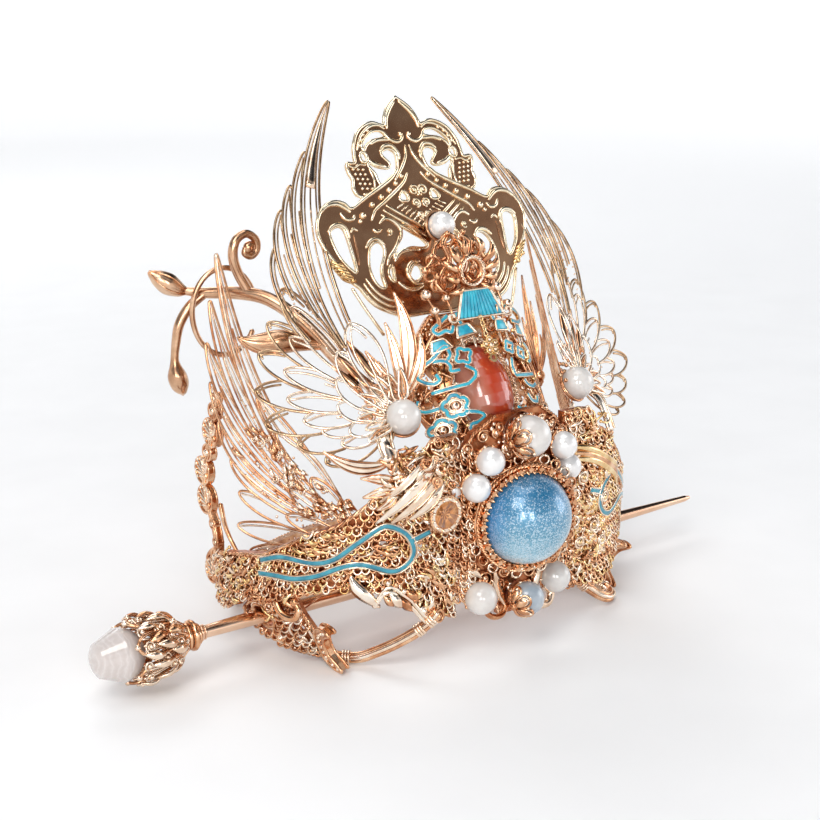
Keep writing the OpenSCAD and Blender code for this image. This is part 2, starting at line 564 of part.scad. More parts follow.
// The branch behind the left wing. Columns: place on the right side before mirroring, radius
branch_rows = [[[18.9, -15.2, 54.4], 1.1], [[21.4, -10.4, 56], 1.3], [[25.6, -5, 61], 1.5],
  [[28.2, 0, 66], 1.6], [[31.2, 5.6, 70.6], 1.6], [[34.4, 11, 73.4], 1.6], [[38.6, 16.6, 74], 1.5],
  [[43, 21, 73.8], 1.3], [[47.4, 24, 74.4], 1.2], [[50.4, 25.4, 76.2], 2], [[53.4, 26, 78.6], 0.5]];
curl_rows = [[[36.4, 14, 74.4], 1.2], [[38.2, 15, 78.4], 1.2], [[39.2, 15, 82.2], 1.1], [[38.4, 15, 85.6], 1],
  [[35.6, 15, 86.6], 0.9], [[33.4, 15, 85], 0.9], [[33.6, 15, 82.6], 0.9], [[35.4, 15, 81.8], 1.2],
  [[36.6, 15, 83.2], 1]];
droop_rows = [[[43, 21, 73.8], 1.1], [[46.4, 22, 71], 1.2], [[48.8, 22.4, 67.4], 1.2], [[49.8, 22.4, 63.6], 1.1],
  [[50.4, 22.2, 59.6], 1.1], [[50, 22, 56.4], 2.1], [[49.2, 22, 53.6], 1.9], [[48.8, 22, 52], 0.8]];
leaf_rows = [[[27, -2.4, 64], 0.8], [[31, 0, 64.6], 1.6], [[35.4, 2, 65.2], 2.6], [[39.6, 3.4, 65], 2.2],
  [[43, 4, 65.8], 1.2], [[45, 4.2, 67], 0.4]];
module branch_wire(rows) wire([for (row = rows) row[0]], [for (row = rows) row[1]], [0.3, 1, 0.2]);
module branch() color(rose)
  resize([0, 0, 0]) union() {
    branch_wire(branch_rows);
    branch_wire(curl_rows);
    branch_wire(droop_rows);
    branch_wire(leaf_rows);
  }

// The hairpin runs along x through both tails. Columns: place along x, radius
pin_profile = [[-63.6, 0], [-63.6, 1.4], [-62, 1.35], [-40, 1.7], [-5, 2], [20, 1.95], [50, 1.6], [72, 1.05],
  [82, 0.8], [83.6, 0.45], [84, 0]];
module on_pin() translate([0, -pin_front, pin_z]) rotate([0, 90, 0]) children();
module pin_shaft() color("#d8a58a")
  on_pin() rotate_extrude($fn = smooth)
    polygon([for (row = pin_profile) [row[1] * (row[1] > 1.9 ? pin_r / 2 : 1), row[0]]]);

drop_r = 5.6;
drop_at = -80;
// The cap is a bell of petals. Columns: place along x, radius
cap_profile = [[-62.4, 1.9], [-63.6, 2.8], [-65, 2.3], [-67, 3.8], [-70, 5.2], [-74, 6.1], [-78, 6.5], [-80.6, 6.6]];
cap_petals = 6;
module pin_cap() color(rose)
  on_pin() difference() {
    rotate_extrude($fn = smooth) polygon(concat([[0, cap_profile[0][0]]],
        [for (row = cap_profile) [row[1], row[0]]], [[0, cap_profile[len(cap_profile) - 1][0]]]));
    translate([0, 0, drop_at]) sphere(r = drop_r + gap, $fn = smooth);
    translate([0, 0, drop_at - 9]) cylinder(r = drop_r + gap, h = 9, $fn = smooth);
    translate([0, 0, drop_at + 4]) cylinder(r1 = 4, r2 = 1.4, h = 6, $fn = smooth);
    translate([0, 0, -64]) cylinder(r = 1.7, h = 10, $fn = smooth);
    for (i = [0:cap_petals - 1]) rotate([0, 0, i * 360 / cap_petals]) {
      translate([0, 0, -81]) rotate([0, 90, 0]) linear_extrude(9) polygon([[1, -2.2], [1, 2.2], [-5.4, 0]]);
      rotate([0, 0, 180 / cap_petals]) translate([0, 0, -74]) rotate([0, 90, 0]) linear_extrude(9)
        polygon([[-2.2, 0], [0, -1.3], [2.6, 0], [0, 1.3]]);
    }
  }
module pin_drop() color("#f0d8d4")
  on_pin() intersection() {
    translate([0, 0, drop_at]) sphere(r = drop_r, $fn = smooth);
    translate([0, 0, drop_at - drop_r]) cylinder(r1 = 3, r2 = 9, h = 14, $fn = smooth);
  }

front_plate();
side_net_right();
side_net_left();
tail();  // tail_right
left() tail();  // tail_left
tail_fin();  // tail_fin_right
left() tail_fin();  // tail_fin_left
rim_arc(arc_right);  // rim_arc_right
left() rim_arc(arc_left);  // rim_arc_left
back_band();
plume();  // plume_right
left() plume();  // plume_left
blue_bezel();
blue_cabochon();
centre_frame();
oval_setting();
oval_cabochon();
pavilion_screen();
roof_tiles();
charm_flower();
crest_ring();
back_plate();
top_pearl_cup();
top_pearl();
upper_wing();  // upper_wing_right
left() upper_wing();  // upper_wing_left
lower_wing();  // lower_wing_right
left() lower_wing();  // lower_wing_left
wing_bead();  // wing_bead_right
left() wing_bead();  // wing_bead_left
color("#f6e6e2") bead("crown_bead");  // crown_bead
crown_bead_cap();
color("white") bead("pearl_right_upper");  // pearl_right_upper
color("white") bead("pearl_right_lower");  // pearl_right_lower
color("white") bead("pearl_left_upper");  // pearl_left_upper
color("white") bead("pearl_left_lower");  // pearl_left_lower
color("white") bead("pearl_left_side");  // pearl_left_side
color("#bccadb") bead("base_bead_centre");  // base_bead_centre
color("#f3e4de") bead("base_bead_right");  // base_bead_right
color("#f3e4de") bead("base_bead_left");  // base_bead_left
base_bead_cap();
amber_cup();
amber_stone();
enamel_loop();  // enamel_loop_right
left() enamel_loop();  // enamel_loop_left
leaf_spray();  // leaf_spray_right
left() leaf_spray();  // leaf_spray_left
left() lower_spray();  // lower_spray_left
left() branch();  // branch_left
pin_shaft();
pin_cap();
pin_drop();
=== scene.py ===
"""Fine pieces and looks of the hair crown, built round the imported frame. Sizes are in millimetres."""
import json
import math
import random

import bpy
import numpy as np
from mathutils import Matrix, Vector
from mathutils.geometry import tessellate_polygon

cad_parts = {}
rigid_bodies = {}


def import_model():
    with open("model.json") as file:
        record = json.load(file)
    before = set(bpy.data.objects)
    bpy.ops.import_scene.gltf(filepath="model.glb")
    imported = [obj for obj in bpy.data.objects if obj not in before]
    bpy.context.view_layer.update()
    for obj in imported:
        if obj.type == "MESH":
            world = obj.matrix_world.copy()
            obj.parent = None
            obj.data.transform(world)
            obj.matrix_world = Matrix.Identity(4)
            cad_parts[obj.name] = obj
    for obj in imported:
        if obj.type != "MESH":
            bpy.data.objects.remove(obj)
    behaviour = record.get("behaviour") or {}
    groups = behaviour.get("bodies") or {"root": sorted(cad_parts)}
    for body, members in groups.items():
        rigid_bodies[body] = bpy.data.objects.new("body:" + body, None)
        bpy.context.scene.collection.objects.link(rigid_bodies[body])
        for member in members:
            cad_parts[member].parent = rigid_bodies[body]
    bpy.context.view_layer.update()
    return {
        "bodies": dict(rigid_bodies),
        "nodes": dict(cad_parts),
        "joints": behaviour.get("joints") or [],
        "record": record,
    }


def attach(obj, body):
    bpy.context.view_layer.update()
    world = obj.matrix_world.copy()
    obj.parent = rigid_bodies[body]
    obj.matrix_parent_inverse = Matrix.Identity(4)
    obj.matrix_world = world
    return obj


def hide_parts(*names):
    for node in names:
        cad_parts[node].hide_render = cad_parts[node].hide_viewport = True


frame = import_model()
nodes = frame["nodes"]
MM = 0.001
UP = (0, 0, 1)
random.seed(7)


# Transforms


def shift(x, y, z):
    m = np.eye(4)
    m[:3, 3] = (x, y, z)
    return m


def turn(axis, degrees):
    a = math.radians(degrees)
    c, s = math.cos(a), math.sin(a)
    i, j = {"x": (1, 2), "y": (2, 0), "z": (0, 1)}[axis]
    m = np.eye(4)
    m[i, i] = m[j, j] = c
    m[i, j], m[j, i] = -s, s
    return m


def place(m, points):
    return np.asarray(points, float) @ m[:3, :3].T + m[:3, 3]


IDENTITY = np.eye(4)
MIRROR = np.diag([-1.0, 1.0, 1.0, 1.0])

# The frames that part.scad uses
UPPER_ROOT = (23.8, -25.3, 53.2)
UPPER_FAN = shift(*UPPER_ROOT) @ turn("z", 21) @ turn("x", 55)
UPPER_LONG = shift(*UPPER_ROOT) @ turn("z", 10) @ turn("x", 55)
LOWER_WING = shift(30.7, -24.6, 25.6) @ turn("z", 57) @ turn("x", 78)
LEANING = shift(0, -27.5, 57) @ turn("x", 61)
BACK = shift(0, -5.4, 77) @ turn("x", 66.5)
SIDE_X, SIDE_R = 18.5, 31.2
WALL_Y, WALL_R = 11.5, 45.0
# The side walls end here, beside the front plate
SIDE_START = 14.8


def outward(angle, up=0.0):
    """The side wall's normal at an angle round it."""
    a = math.radians(angle)
    return (math.sin(a), -math.cos(a), up)


def on_side(angle, z, out=0.0):
    """A point on the right side wall, by its angle round the wall and its height."""
    a = math.radians(angle)
    return (SIDE_X + (SIDE_R + out) * math.sin(a), -(SIDE_R + out) * math.cos(a), z)


def side_frame(angle, z, out):
    return shift(SIDE_X, 0, 0) @ turn("z", angle) @ turn("x", 90) @ shift(0, z, SIDE_R + out)


def on_front(x, z, out=0.0):
    """A point on the front wall."""
    return (x, WALL_Y - math.sqrt((WALL_R + out) ** 2 - x * x), z)


# Curves


def unit(v):
    n = np.linalg.norm(v, axis=-1, keepdims=True)
    return v / np.where(n < 1e-9, 1, n)


def headings(p, closed=False):
    """Unit directions along a line."""
    return unit(np.roll(p, -1, 0) - np.roll(p, 1, 0) if closed else np.gradient(p, axis=0))


def smooth(points, n=6, closed=False):
    """A Catmull-Rom curve, n steps for each span. Columns past the third, such as a radius, go along."""
    p = np.asarray(points, float)
    if len(p) < 3 and not closed:
        return np.linspace(p[0], p[-1], n + 1)
    before, after = (p[-1:], p[:2]) if closed else (2 * p[:1] - p[1:2], 2 * p[-1:] - p[-2:-1])
    q = np.vstack([before, p, after])
    t = np.linspace(0, 1, n, endpoint=False)[:, None]
    out = []
    for a, b, c, d in zip(q, q[1:], q[2:], q[3:]):
        square, cube = 2 * a - 5 * b + 4 * c - d, 3 * b - a - 3 * c + d
        out.append(0.5 * (2 * b + (c - a) * t + square * t ** 2 + cube * t ** 3))
    if not closed:
        out.append(p[-1:])
    return np.vstack(out)


def side_curve(rows, n=6):
    """A smooth line on the side wall. Columns: angle, height, how far out."""
    return smooth([on_side(*row) for row in rows], n)


def bend(a, b, c, n=14):
    """A quadratic curve from a, pulled towards b, to c."""
    a, b, c = (np.asarray(q, float) for q in (a, b, c))
    t = np.linspace(0, 1, n)[:, None]
    return (1 - t) ** 2 * a + 2 * t * (1 - t) * b + t * t * c


def dense(points, step=0.35):
    """The same line with points at even steps."""
    p = np.asarray(points, float)
    s = np.concatenate([[0], np.cumsum(np.linalg.norm(np.diff(p, axis=0), axis=1))])
    t = np.linspace(0, s[-1], max(int(s[-1] / step), 3))
    return np.column_stack([np.interp(t, s, column) for column in p.T])


def closed_line(points, step):
    """A closed plane line with points at even steps."""
    return dense(np.vstack([points, points[:1]]), step)


def flat(points, z=0.0):
    """Plane points lifted to three columns."""
    p = np.asarray(points, float)
    return np.column_stack([p[:, :2], np.full(len(p), z)])


def turned(r, degrees):
    """A point at radius r."""
    a = math.radians(degrees)
    return np.array([r * math.cos(a), r * math.sin(a)])


def around(count, start=0.0):
    """Evenly spread angles in degrees."""
    return start + np.arange(count) * 360 / count


def circle_line(r, z=0.0, n=72, centre=(0, 0), ry=None):
    a = np.radians(around(n))
    return flat(np.column_stack([centre[0] + r * np.cos(a), centre[1] + (ry or r) * np.sin(a)]), z)


def spiral(centre, r0, r1, start, sweep, n=24):
    """A flat spiral from radius r0 at the start angle to r1."""
    t = np.linspace(0, 1, n)
    a = np.radians(start + sweep * t)
    r = r0 + (r1 - r0) * t
    return np.column_stack([centre[0] + r * np.cos(a), centre[1] + r * np.sin(a)])


def offset_line(points, amount):
    """A plane line moved sideways."""
    q = np.asarray(points, float)
    d = headings(q[:, :2])
    return q[:, :2] + np.column_stack([-d[:, 1], d[:, 0]]) * np.reshape(amount, (-1, 1))


def bulge(t, w, least=0.06, span=(0.95, 0.03), power=1.0):
    """Half widths of a leaf that is pointed at both ends."""
    return w * np.sin(np.pi * (t * span[0] + span[1])) ** power + least


def table_at(rows, x):
    return float(np.interp(x, [r[0] for r in rows], [r[1] for r in rows]))


def inside(points, poly):
    """Which points lie inside a polygon."""
    x, y = points[:, 0], points[:, 1]
    hit = np.zeros(len(points), bool)
    for (xi, yi), (xj, yj) in zip(poly, np.roll(poly, 1, 0)):
        hit ^= ((yi > y) != (yj > y)) & (x < (xj - xi) * (y - yi) / (yj - yi + 1e-12) + xi)
    return hit


def hidden_by(points, covers):
    hidden = np.zeros(len(points), bool)
    for cover in covers:
        hidden |= inside(points, cover)
    return hidden


def shown(points, hidden):
    """The parts of a line that aren't hidden, of two points or more."""
    edges = np.flatnonzero(np.diff(np.concatenate([[0], ~hidden, [0]])))
    return [points[a:b] for a, b in zip(edges[::2], edges[1::2]) if b - a > 1]


# Piece building

# Columns: across, height
LEAF_SECTION = [(-1, 0), (-0.55, 0.75), (0, 1), (0.55, 0.75), (1, 0), (0.55, -0.75), (0, -1), (-0.55, -0.75)]


def lattice(rows, cols, closed=False, flip=False):
    """Quads between the rows of a grid whose columns run round."""
    faces = []
    for i in range(rows if closed else rows - 1):
        j = (i + 1) % rows
        for k in range(cols):
            q = (k + 1) % cols
            a, b, c, d = i * cols + k, j * cols + k, j * cols + q, i * cols + q
            faces.append((a, d, c, b) if flip else (a, b, c, d))
    return faces


# Degrees that the curls on the walls turn through
CURL_SWEEP = 560


class Piece:
    """Collects tubes, beads and skins drawn in its current frame, and becomes an object that rides on a body."""

    def __init__(self, name, frame=IDENTITY):
        self.name = name
        self.frame = frame
        self.verts = []
        self.faces = []
        self.slots = []
        self.count = 0

    def add(self, verts, faces, slot=0):
        self.verts.append(np.asarray(verts, float))
        self.faces += [tuple(self.count + i for i in f) for f in faces]
        self.slots += [slot] * len(faces)
        self.count += len(verts)

    def tube(self, points, radius, slot=0, sides=6, closed=False, up=None, flatten=1.0):
        """A wire along points. up is its flat side's normal, and flatten its thickness over its width."""
        p = place(self.frame, np.asarray(points, float)[:, :3])
        r = np.broadcast_to(np.asarray(radius, float), len(p))
        keep = np.append(True, np.linalg.norm(np.diff(p, axis=0), axis=1) > 1e-5)
        p, r = p[keep], r[keep]
        n = len(p)
        if n < 2:
            return
        d = headings(p, closed)
        if up is None:
            side = [unit(np.cross(d[0], (0.3, 0.2, 0.93)))]
            for way in d[1:]:
                side.append(unit(side[-1] - way * np.dot(side[-1], way)))
            side = np.array(side)
        else:
            side = unit(np.cross(d, self.frame[:3, :3] @ np.asarray(up, float)))
        normal = np.cross(side, d)
        a = ((np.arange(sides) + 0.5) * 2 * math.pi / sides)[:, None]
        section = np.cos(a) * side[:, None] + flatten * np.sin(a) * normal[:, None]
        verts = (p[:, None] + r[:, None, None] * section).reshape(-1, 3)
        faces = lattice(n, sides, closed)
        if not closed:
            verts = np.vstack([verts, p[0] - d[0] * r[0] * 0.7, p[-1] + d[-1] * r[-1] * 0.7])
            first, last = n * sides, (n - 1) * sides
            for k in range(sides):
                q = (k + 1) % sides
                faces += [(first, k, q), (first + 1, last + q, last + k)]
        self.add(verts, faces, slot)

    def wire(self, points, radius, slot=0, sides=6, flatten=0.8):
        """A wire that lies flat in the frame's plane."""
        self.tube(points, radius, slot, sides, up=UP, flatten=flatten)

    def ring(self, points, radius, slot=0, sides=6):
        self.tube(points, radius, slot, sides, closed=True)

    def bead(self, centre, radius, slot=0, cols=10, rows=6, squash=(1, 1, 1)):
        """A round bead; squash scales it along x, y and z of the frame."""
        pts = [(0, 0, 1)]
        for polar in np.arange(1, rows) * math.pi / rows:
            pts += list(circle_line(math.sin(polar), math.cos(polar), cols))
        pts.append((0, 0, -1))
        last = 1 + (rows - 2) * cols
        faces = []
        for k in range(cols):
            q = (k + 1) % cols
            faces += [(0, 1 + k, 1 + q), (last + q, last + k, len(pts) - 1)]
        faces += [tuple(1 + i for i in f) for f in lattice(rows - 1, cols)]
        self.add(place(self.frame, np.array(pts) * squash * radius + centre), faces, slot)

    def grain(self, centre, radius, slot=0, rows=6):
        self.bead(centre, radius, slot, 8, rows)

    def coil(self, x, y, z, r, start, sweep, n, wire, slot=0, r0=0.3):
        self.tube(flat(spiral((x, y), r0, r, start, sweep, n), z), wire, slot)

    def skin(self, rings, slot, closed=False):
        """A skin over lines that run side by side, one for each corner of its section."""
        n, k = len(rings[0]), len(rings)
        faces = lattice(n, k, closed, True)
        if not closed:
            faces += [tuple(range(k - 1, -1, -1)), tuple((n - 1) * k + j for j in range(k))]
        self.add(place(self.frame, np.stack(rings, axis=1).reshape(-1, 3)), faces, slot)

    def leaf(self, points, widths, slot=0, thick=0.35, crown=0.3, up=UP):
        """A solid leaf along points, with its half widths, crowned along the middle."""
        p = np.asarray(points, float)[:, :3]
        w = np.asarray(widths, float)
        d = headings(p)
        side = unit(np.cross(d, np.broadcast_to(np.asarray(up, float), d.shape)))
        normal = np.cross(side, d)
        rings = []
        for across, h in LEAF_SECTION:
            lift = h * thick / 2 + crown * w * (1 - across ** 2)
            rings.append(p + side * (w * across)[:, None] + normal * lift[:, None])
        self.skin(rings, slot)

    def strip(self, points, half, thick, up, slot=0, closed=False, bevel=0.16):
        """A strip with a flat top and bevelled edges along points."""
        d = headings(points, closed)
        side = unit(np.cross(d, up))
        normal = unit(np.cross(side, d))
        h = thick / 2
        b = min(bevel, h * 0.8)
        inner = half - min(b, half * 0.6)
        section = [(-half, b - h), (-half, h - b), (-inner, h), (inner, h)]
        section += [(-s, -z) for s, z in section]
        self.skin([points + side * s + normal * z for s, z in section], slot, closed)

    def slab(self, outline, z0, z1, slot=0, lift=None):
        """A flat plate over a convex outline, between two heights; lift bends it on to a surface."""
        o = np.asarray(outline, float)
        c = o.mean(0)
        n = len(o)
        pts = np.vstack([flat(o, z0), flat(o, z1 - 0.1), flat(c + (o - c) * 0.9, z1), (*c, z1), (*c, z0)])
        faces = lattice(3, n, flip=True)
        for k in range(n):
            q = (k + 1) % n
            faces += [(2 * n + k, 2 * n + q, 3 * n), (q, k, 3 * n + 1)]
        self.add(place(self.frame, [lift(*q) for q in pts] if lift else pts), faces, slot)

    def rope(self, line, normal, radius=0.24, wire=0.28, pitch=2.2, slot=0, step=0.4, closed=False):
        """Two twisted wires along a line; normal is one direction, or one for each point."""
        q = np.asarray(line, float)[:, :3]
        both = np.column_stack([q, np.broadcast_to(np.asarray(normal, float), q.shape)])
        both = closed_line(both, step) if closed else dense(both, step)
        q, o = both[:, :3], unit(both[:, 3:])
        side = unit(np.cross(headings(q), o))
        run = np.concatenate([[0], np.cumsum(np.linalg.norm(np.diff(q, axis=0), axis=1))])
        turns = max(1, round(run[-1] / pitch)) if closed else run[-1] / pitch
        for k in range(2):
            a = (run / run[-1] * turns * 2 * math.pi + math.pi * k)[:, None]
            strand = q + side * (radius * np.cos(a)) + o * (radius * np.sin(a))
            self.tube(strand[:-1] if closed else strand, wire, slot, 5, closed)

    def grain_row(self, line, radius, gap, slot=1):
        """Round grains in a row along a line."""
        for q in dense(line, radius * gap):
            self.grain(q, radius, slot)

    def curl(self, at, r, start, wire=0.24, slot=0, grain=0.5, grain_slot=1, sweep=CURL_SWEEP):
        """A spiral with a grain in its middle; at(x, y) gives the place on the surface below."""
        self.tube([at(*q) for q in spiral((0, 0), 0.3, r, start, sweep, 26)], wire, slot)
        self.bead(at(0, 0), grain, grain_slot)

    def mirrored(self, name):
        other = Piece(name)
        other.count = self.count
        other.verts = [v * (-1, 1, 1) for v in self.verts]
        other.faces = [f[::-1] for f in self.faces]
        other.slots = self.slots
        return other

    def build(self, materials, slot, replaces=(), body="crown"):
        mesh = bpy.data.meshes.new(self.name)
        mesh.from_pydata((np.vstack(self.verts) * MM).tolist(), [], self.faces)
        mesh.polygons.foreach_set("use_smooth", [True] * len(mesh.polygons))
        for material in materials:
            mesh.materials.append(material)
        mesh.polygons.foreach_set("material_index", self.slots)
        mesh.validate(verbose=False)
        obj = bpy.data.objects.new(self.name, mesh)
        bpy.context.scene.collection.objects.link(obj)
        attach(obj, body)
        if replaces:
            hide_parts(*replaces)

    def build_both(self, materials, slot, replaced=None):
        """Builds this right piece and its mirror image; replaced is the node's name without its side."""
        for side in ("right", "left"):
            piece = self if side == "right" else self.mirrored(self.name.replace("right", "left"))
            piece.build(materials, slot, [f"{replaced}_{side}"] if replaced else [])



# Materials


class Graph:
    """A node tree with its shader, and short ways to add nodes to it."""

    def __init__(self, owner, shader="Principled BSDF", coords="Object"):
        owner.use_nodes = True
        self.owner = owner
        self.tree = owner.node_tree
        self.shader = self.tree.nodes[shader]
        self.coords = self.node("TexCoord").outputs[coords]

    def fill(self, node, values):
        """Sets a node's inputs, or links them where a value is another node's output."""
        for key, value in values.items():
            if isinstance(value, bpy.types.NodeSocket):
                self.tree.links.new(value, node.inputs[key])
            else:
                node.inputs[key].default_value = value

    def node(self, kind, values=None, **settings):
        node = self.tree.nodes.new("ShaderNode" + kind)
        for key, value in settings.items():
            setattr(node, key, value)
        self.fill(node, values or {})
        return node

    def math(self, operation, *values):
        return self.node("Math", dict(enumerate(values)), operation=operation).outputs["Value"]

    def dot(self, way):
        values = {0: self.coords, 1: way}
        return self.node("VectorMath", values, operation="DOT_PRODUCT").outputs["Value"]

    def split(self):
        return self.node("SeparateXYZ", {"Vector": self.coords}).outputs

    def noise(self, scale, detail=3.0, rough=0.6):
        values = {"Scale": scale, "Detail": detail, "Roughness": rough, "Vector": self.coords}
        return self.node("TexNoise", values).outputs["Fac"]

    def ramp(self, source, stops, interpolation="LINEAR"):
        node = self.node("ValToRGB", {"Fac": source})
        colours = node.color_ramp
        colours.elements.remove(colours.elements[-1])
        colours.elements[0].position = stops[0][0]
        for position, _ in stops[1:]:
            colours.elements.new(position)
        for element, (_, colour) in zip(colours.elements, stops):
            element.color = (*colour, 1.0)
        colours.interpolation = interpolation
        return node.outputs["Color"]

    def spread(self, source, low, high, start=0.0, end=1.0, **settings):
        """Maps start to end on low to high."""
        values = {"Value": source, "From Min": start, "From Max": end, "To Min": low, "To Max": high}
        return self.node("MapRange", values, **settings).outputs["Result"]

    def mix(self, factor, a, b):
        values = {"Factor": factor, "A": a, "B": (*b, 1.0)}
        return self.node("Mix", values, data_type="RGBA").outputs["Result"]

    def finish(self, colour, relief, strength, rough, **shader):
        """Links colour and relief to the shader. rough is one value, or a range that follows the relief."""
        bump = self.node("Bump", {"Strength": strength, "Distance": 0.0001, "Height": relief})
        values = {"Base Color": colour, "Normal": bump.outputs["Normal"]}
        values["Roughness"] = self.spread(relief, *rough) if isinstance(rough, tuple) else rough
        values.update((key.replace("_", " "), value) for key, value in shader.items())
        self.fill(self.shader, values)
        return self.owner


def new_look(name):
    return Graph(bpy.data.materials.new(name))


def metal(name, dark, mid, light, rough=(0.1, 0.24), scale=260.0, bump=0.12):
    """Polished metal: its tint drifts slowly, with fine polishing marks in its roughness and bump."""
    g = new_look(name)
    tint = g.ramp(g.noise(scale, 4.0), [(0.32, dark), (0.5, mid), (0.68, light)])
    return g.finish(tint, g.noise(900.0), bump, rough, Metallic=1.0)


POLISHED, BRIGHT, FLAT_POLISH = (0.1, 0.22), (0.08, 0.2), (0.12, 0.2)
rose = metal("rose_gold", (0.40, 0.15, 0.065), (0.73, 0.385, 0.205), (0.93, 0.64, 0.42), POLISHED)
# painted shade: a dark rose for the solid sheets under the rings and grains, standing in for the shade in the
# nets' gaps
painted_shade_rose = metal("painted_shade_rose", (0.24, 0.062, 0.024), (0.42, 0.135, 0.055), (0.60, 0.26, 0.12), (0.2, 0.36))
pale = metal("pale_gold", (0.70, 0.47, 0.32), (0.91, 0.72, 0.55), (1.0, 0.89, 0.77), POLISHED)
brown_gold = metal("brown_gold", (0.34, 0.19, 0.10), (0.55, 0.36, 0.21), (0.80, 0.61, 0.42), POLISHED)
gold = metal("yellow_gold", (0.58, 0.33, 0.13), (0.86, 0.59, 0.29), (0.96, 0.78, 0.48))
white_gold = metal("white_gold", (0.82, 0.62, 0.47), (0.95, 0.82, 0.68), (1.0, 0.93, 0.83), BRIGHT)
rim_gold = metal("rim_gold", (0.78, 0.60, 0.38), (0.93, 0.79, 0.57), (1.0, 0.93, 0.76), BRIGHT)
plate_gold = metal("plate_gold", (0.28, 0.135, 0.072), (0.40, 0.205, 0.11), (0.52, 0.30, 0.17),
                   FLAT_POLISH, 70.0, 0.05)
pin_gold = metal("pin_gold", (0.72, 0.42, 0.27), (0.83, 0.55, 0.38), (0.90, 0.67, 0.50), FLAT_POLISH, 90.0, 0.04)
satin_rose = metal("satin_rose", (0.42, 0.22, 0.12), (0.60, 0.36, 0.22), (0.78, 0.54, 0.37), (0.14, 0.27), 150.0)


def enamel(name, deep, light):
    g = new_look(name)
    tint = g.ramp(g.noise(420.0, 4.0), [(0.35, deep), (0.62, light)])
    return g.finish(tint, g.noise(1500.0, 2.0, 0.5), 0.15, 0.28, Coat_Weight=0.5, Coat_Roughness=0.08)


teal = enamel("teal_enamel", (0.008, 0.24, 0.37), (0.03, 0.45, 0.58))
loop_teal = enamel("loop_enamel", (0.012, 0.17, 0.25), (0.05, 0.33, 0.42))


def inner_light(weight, spread=(1.0, 0.8, 0.7)):
    return {"Subsurface_Weight": weight, "Subsurface_Radius": spread, "Subsurface_Scale": 0.002}


def stone(name, stops, rough, noise, coat=1.0, bump=0.05, **shader):
    g = new_look(name)
    tint = g.noise(noise, 5.0)
    return g.finish(g.ramp(tint, stops), tint, bump, (rough, rough + 0.1), Coat_Weight=coat,
                    Coat_Roughness=0.05, **shader)


def agate_with_painted_highlight(name):
    """Red agate with a painted highlight: a tall pale stripe left of its middle."""
    g = new_look(name)
    wobble = g.noise(110.0, 4.0)
    across = g.spread(g.math("MULTIPLY_ADD", wobble, 0.004, g.split()["X"]), 0.0, 1.0, -0.0098, 0.0102)
    # the paler pink stops round 0.3 paint the highlight stripe; the other stops are the stone's reds
    reds_and_painted_highlight = [(0.05, (0.22, 0.02, 0.01)), (0.2, (0.42, 0.09, 0.05)), (0.3, (0.56, 0.25, 0.18)),
             (0.4, (0.50, 0.17, 0.11)), (0.5, (0.46, 0.055, 0.02)), (0.75, (0.44, 0.05, 0.016)),
             (0.9, (0.58, 0.14, 0.05))]
    return g.finish(g.ramp(across, reds_and_painted_highlight), wobble, 0.04, (0.05, 0.14), Coat_Weight=1.0,
                    Coat_Roughness=0.02, **inner_light(0.2, (1.0, 0.4, 0.3)))


def veined(name):
    """The drop: clear pale rock crystal with fine white veins."""
    g = new_look(name)
    values = {"Scale": 260.0, "Distortion": 9.0, "Detail": 4.0, "Detail Scale": 1.4, "Vector": g.coords}
    wave = g.node("TexWave", values).outputs["Fac"]
    veins = [(0.0, (0.57, 0.51, 0.48)), (0.6, (0.60, 0.54, 0.515)), (0.85, (0.605, 0.547, 0.52)),
             (1.0, (0.64, 0.59, 0.565))]
    return g.finish(g.ramp(wave, veins), wave, 0.015, 0.08, Coat_Weight=0.8, Coat_Roughness=0.04,
                    **inner_light(0.3))


# The way across the dome, and where its painted rim light, a purer blue on one side, begins and ends along it, in
# metres
GLASS_ACROSS = (0.8, -0.6, 0.0)
GLASS_PAINTED_RIM = (0.0105, 0.0190)
GLASS_HEIGHT = (0.0205, 0.0395)


def glitter_glass(name):
    """Blue glass over silver glitter: deep blue towards the top rim, paler and icy towards the foot, where more
    flakes shine.
    """
    g = new_look(name)
    high = g.spread(g.split()["Z"], 0.0, 1.0, *GLASS_HEIGHT)
    depth = g.math("MULTIPLY_ADD", g.noise(120.0), 0.35, high)
    glass = g.ramp(depth, [(0.12, (0.50, 0.74, 0.84)), (0.36, (0.24, 0.46, 0.58)),
                           (0.62, (0.09, 0.28, 0.41)), (1.0, (0.035, 0.19, 0.36))])
    flakes = g.node("TexVoronoi", {"Scale": 4600.0, "Vector": g.coords}).outputs["Color"]
    flake = g.node("SeparateColor", {"Color": flakes}).outputs
    # more flakes shine low down
    shining = g.math("GREATER_THAN", flake["Red"], g.spread(depth, 0.26, 0.84))
    tint = g.mix(g.math("MULTIPLY", shining, 0.46), glass, (0.75, 0.86, 0.94))
    # painted light: the rim on the branch's side is painted a purer, deeper blue
    rim = g.spread(g.dot(GLASS_ACROSS), 0.95, 0.0, *GLASS_PAINTED_RIM, interpolation_type="SMOOTHSTEP")
    glow = g.mix(rim, tint, (0.01, 0.22, 0.60))
    return g.finish(glow, flake["Green"], 0.15, g.spread(flake["Blue"], 0.22, 0.4), Metallic=0.25,
                    Coat_Weight=1.0, Coat_Roughness=0.02)


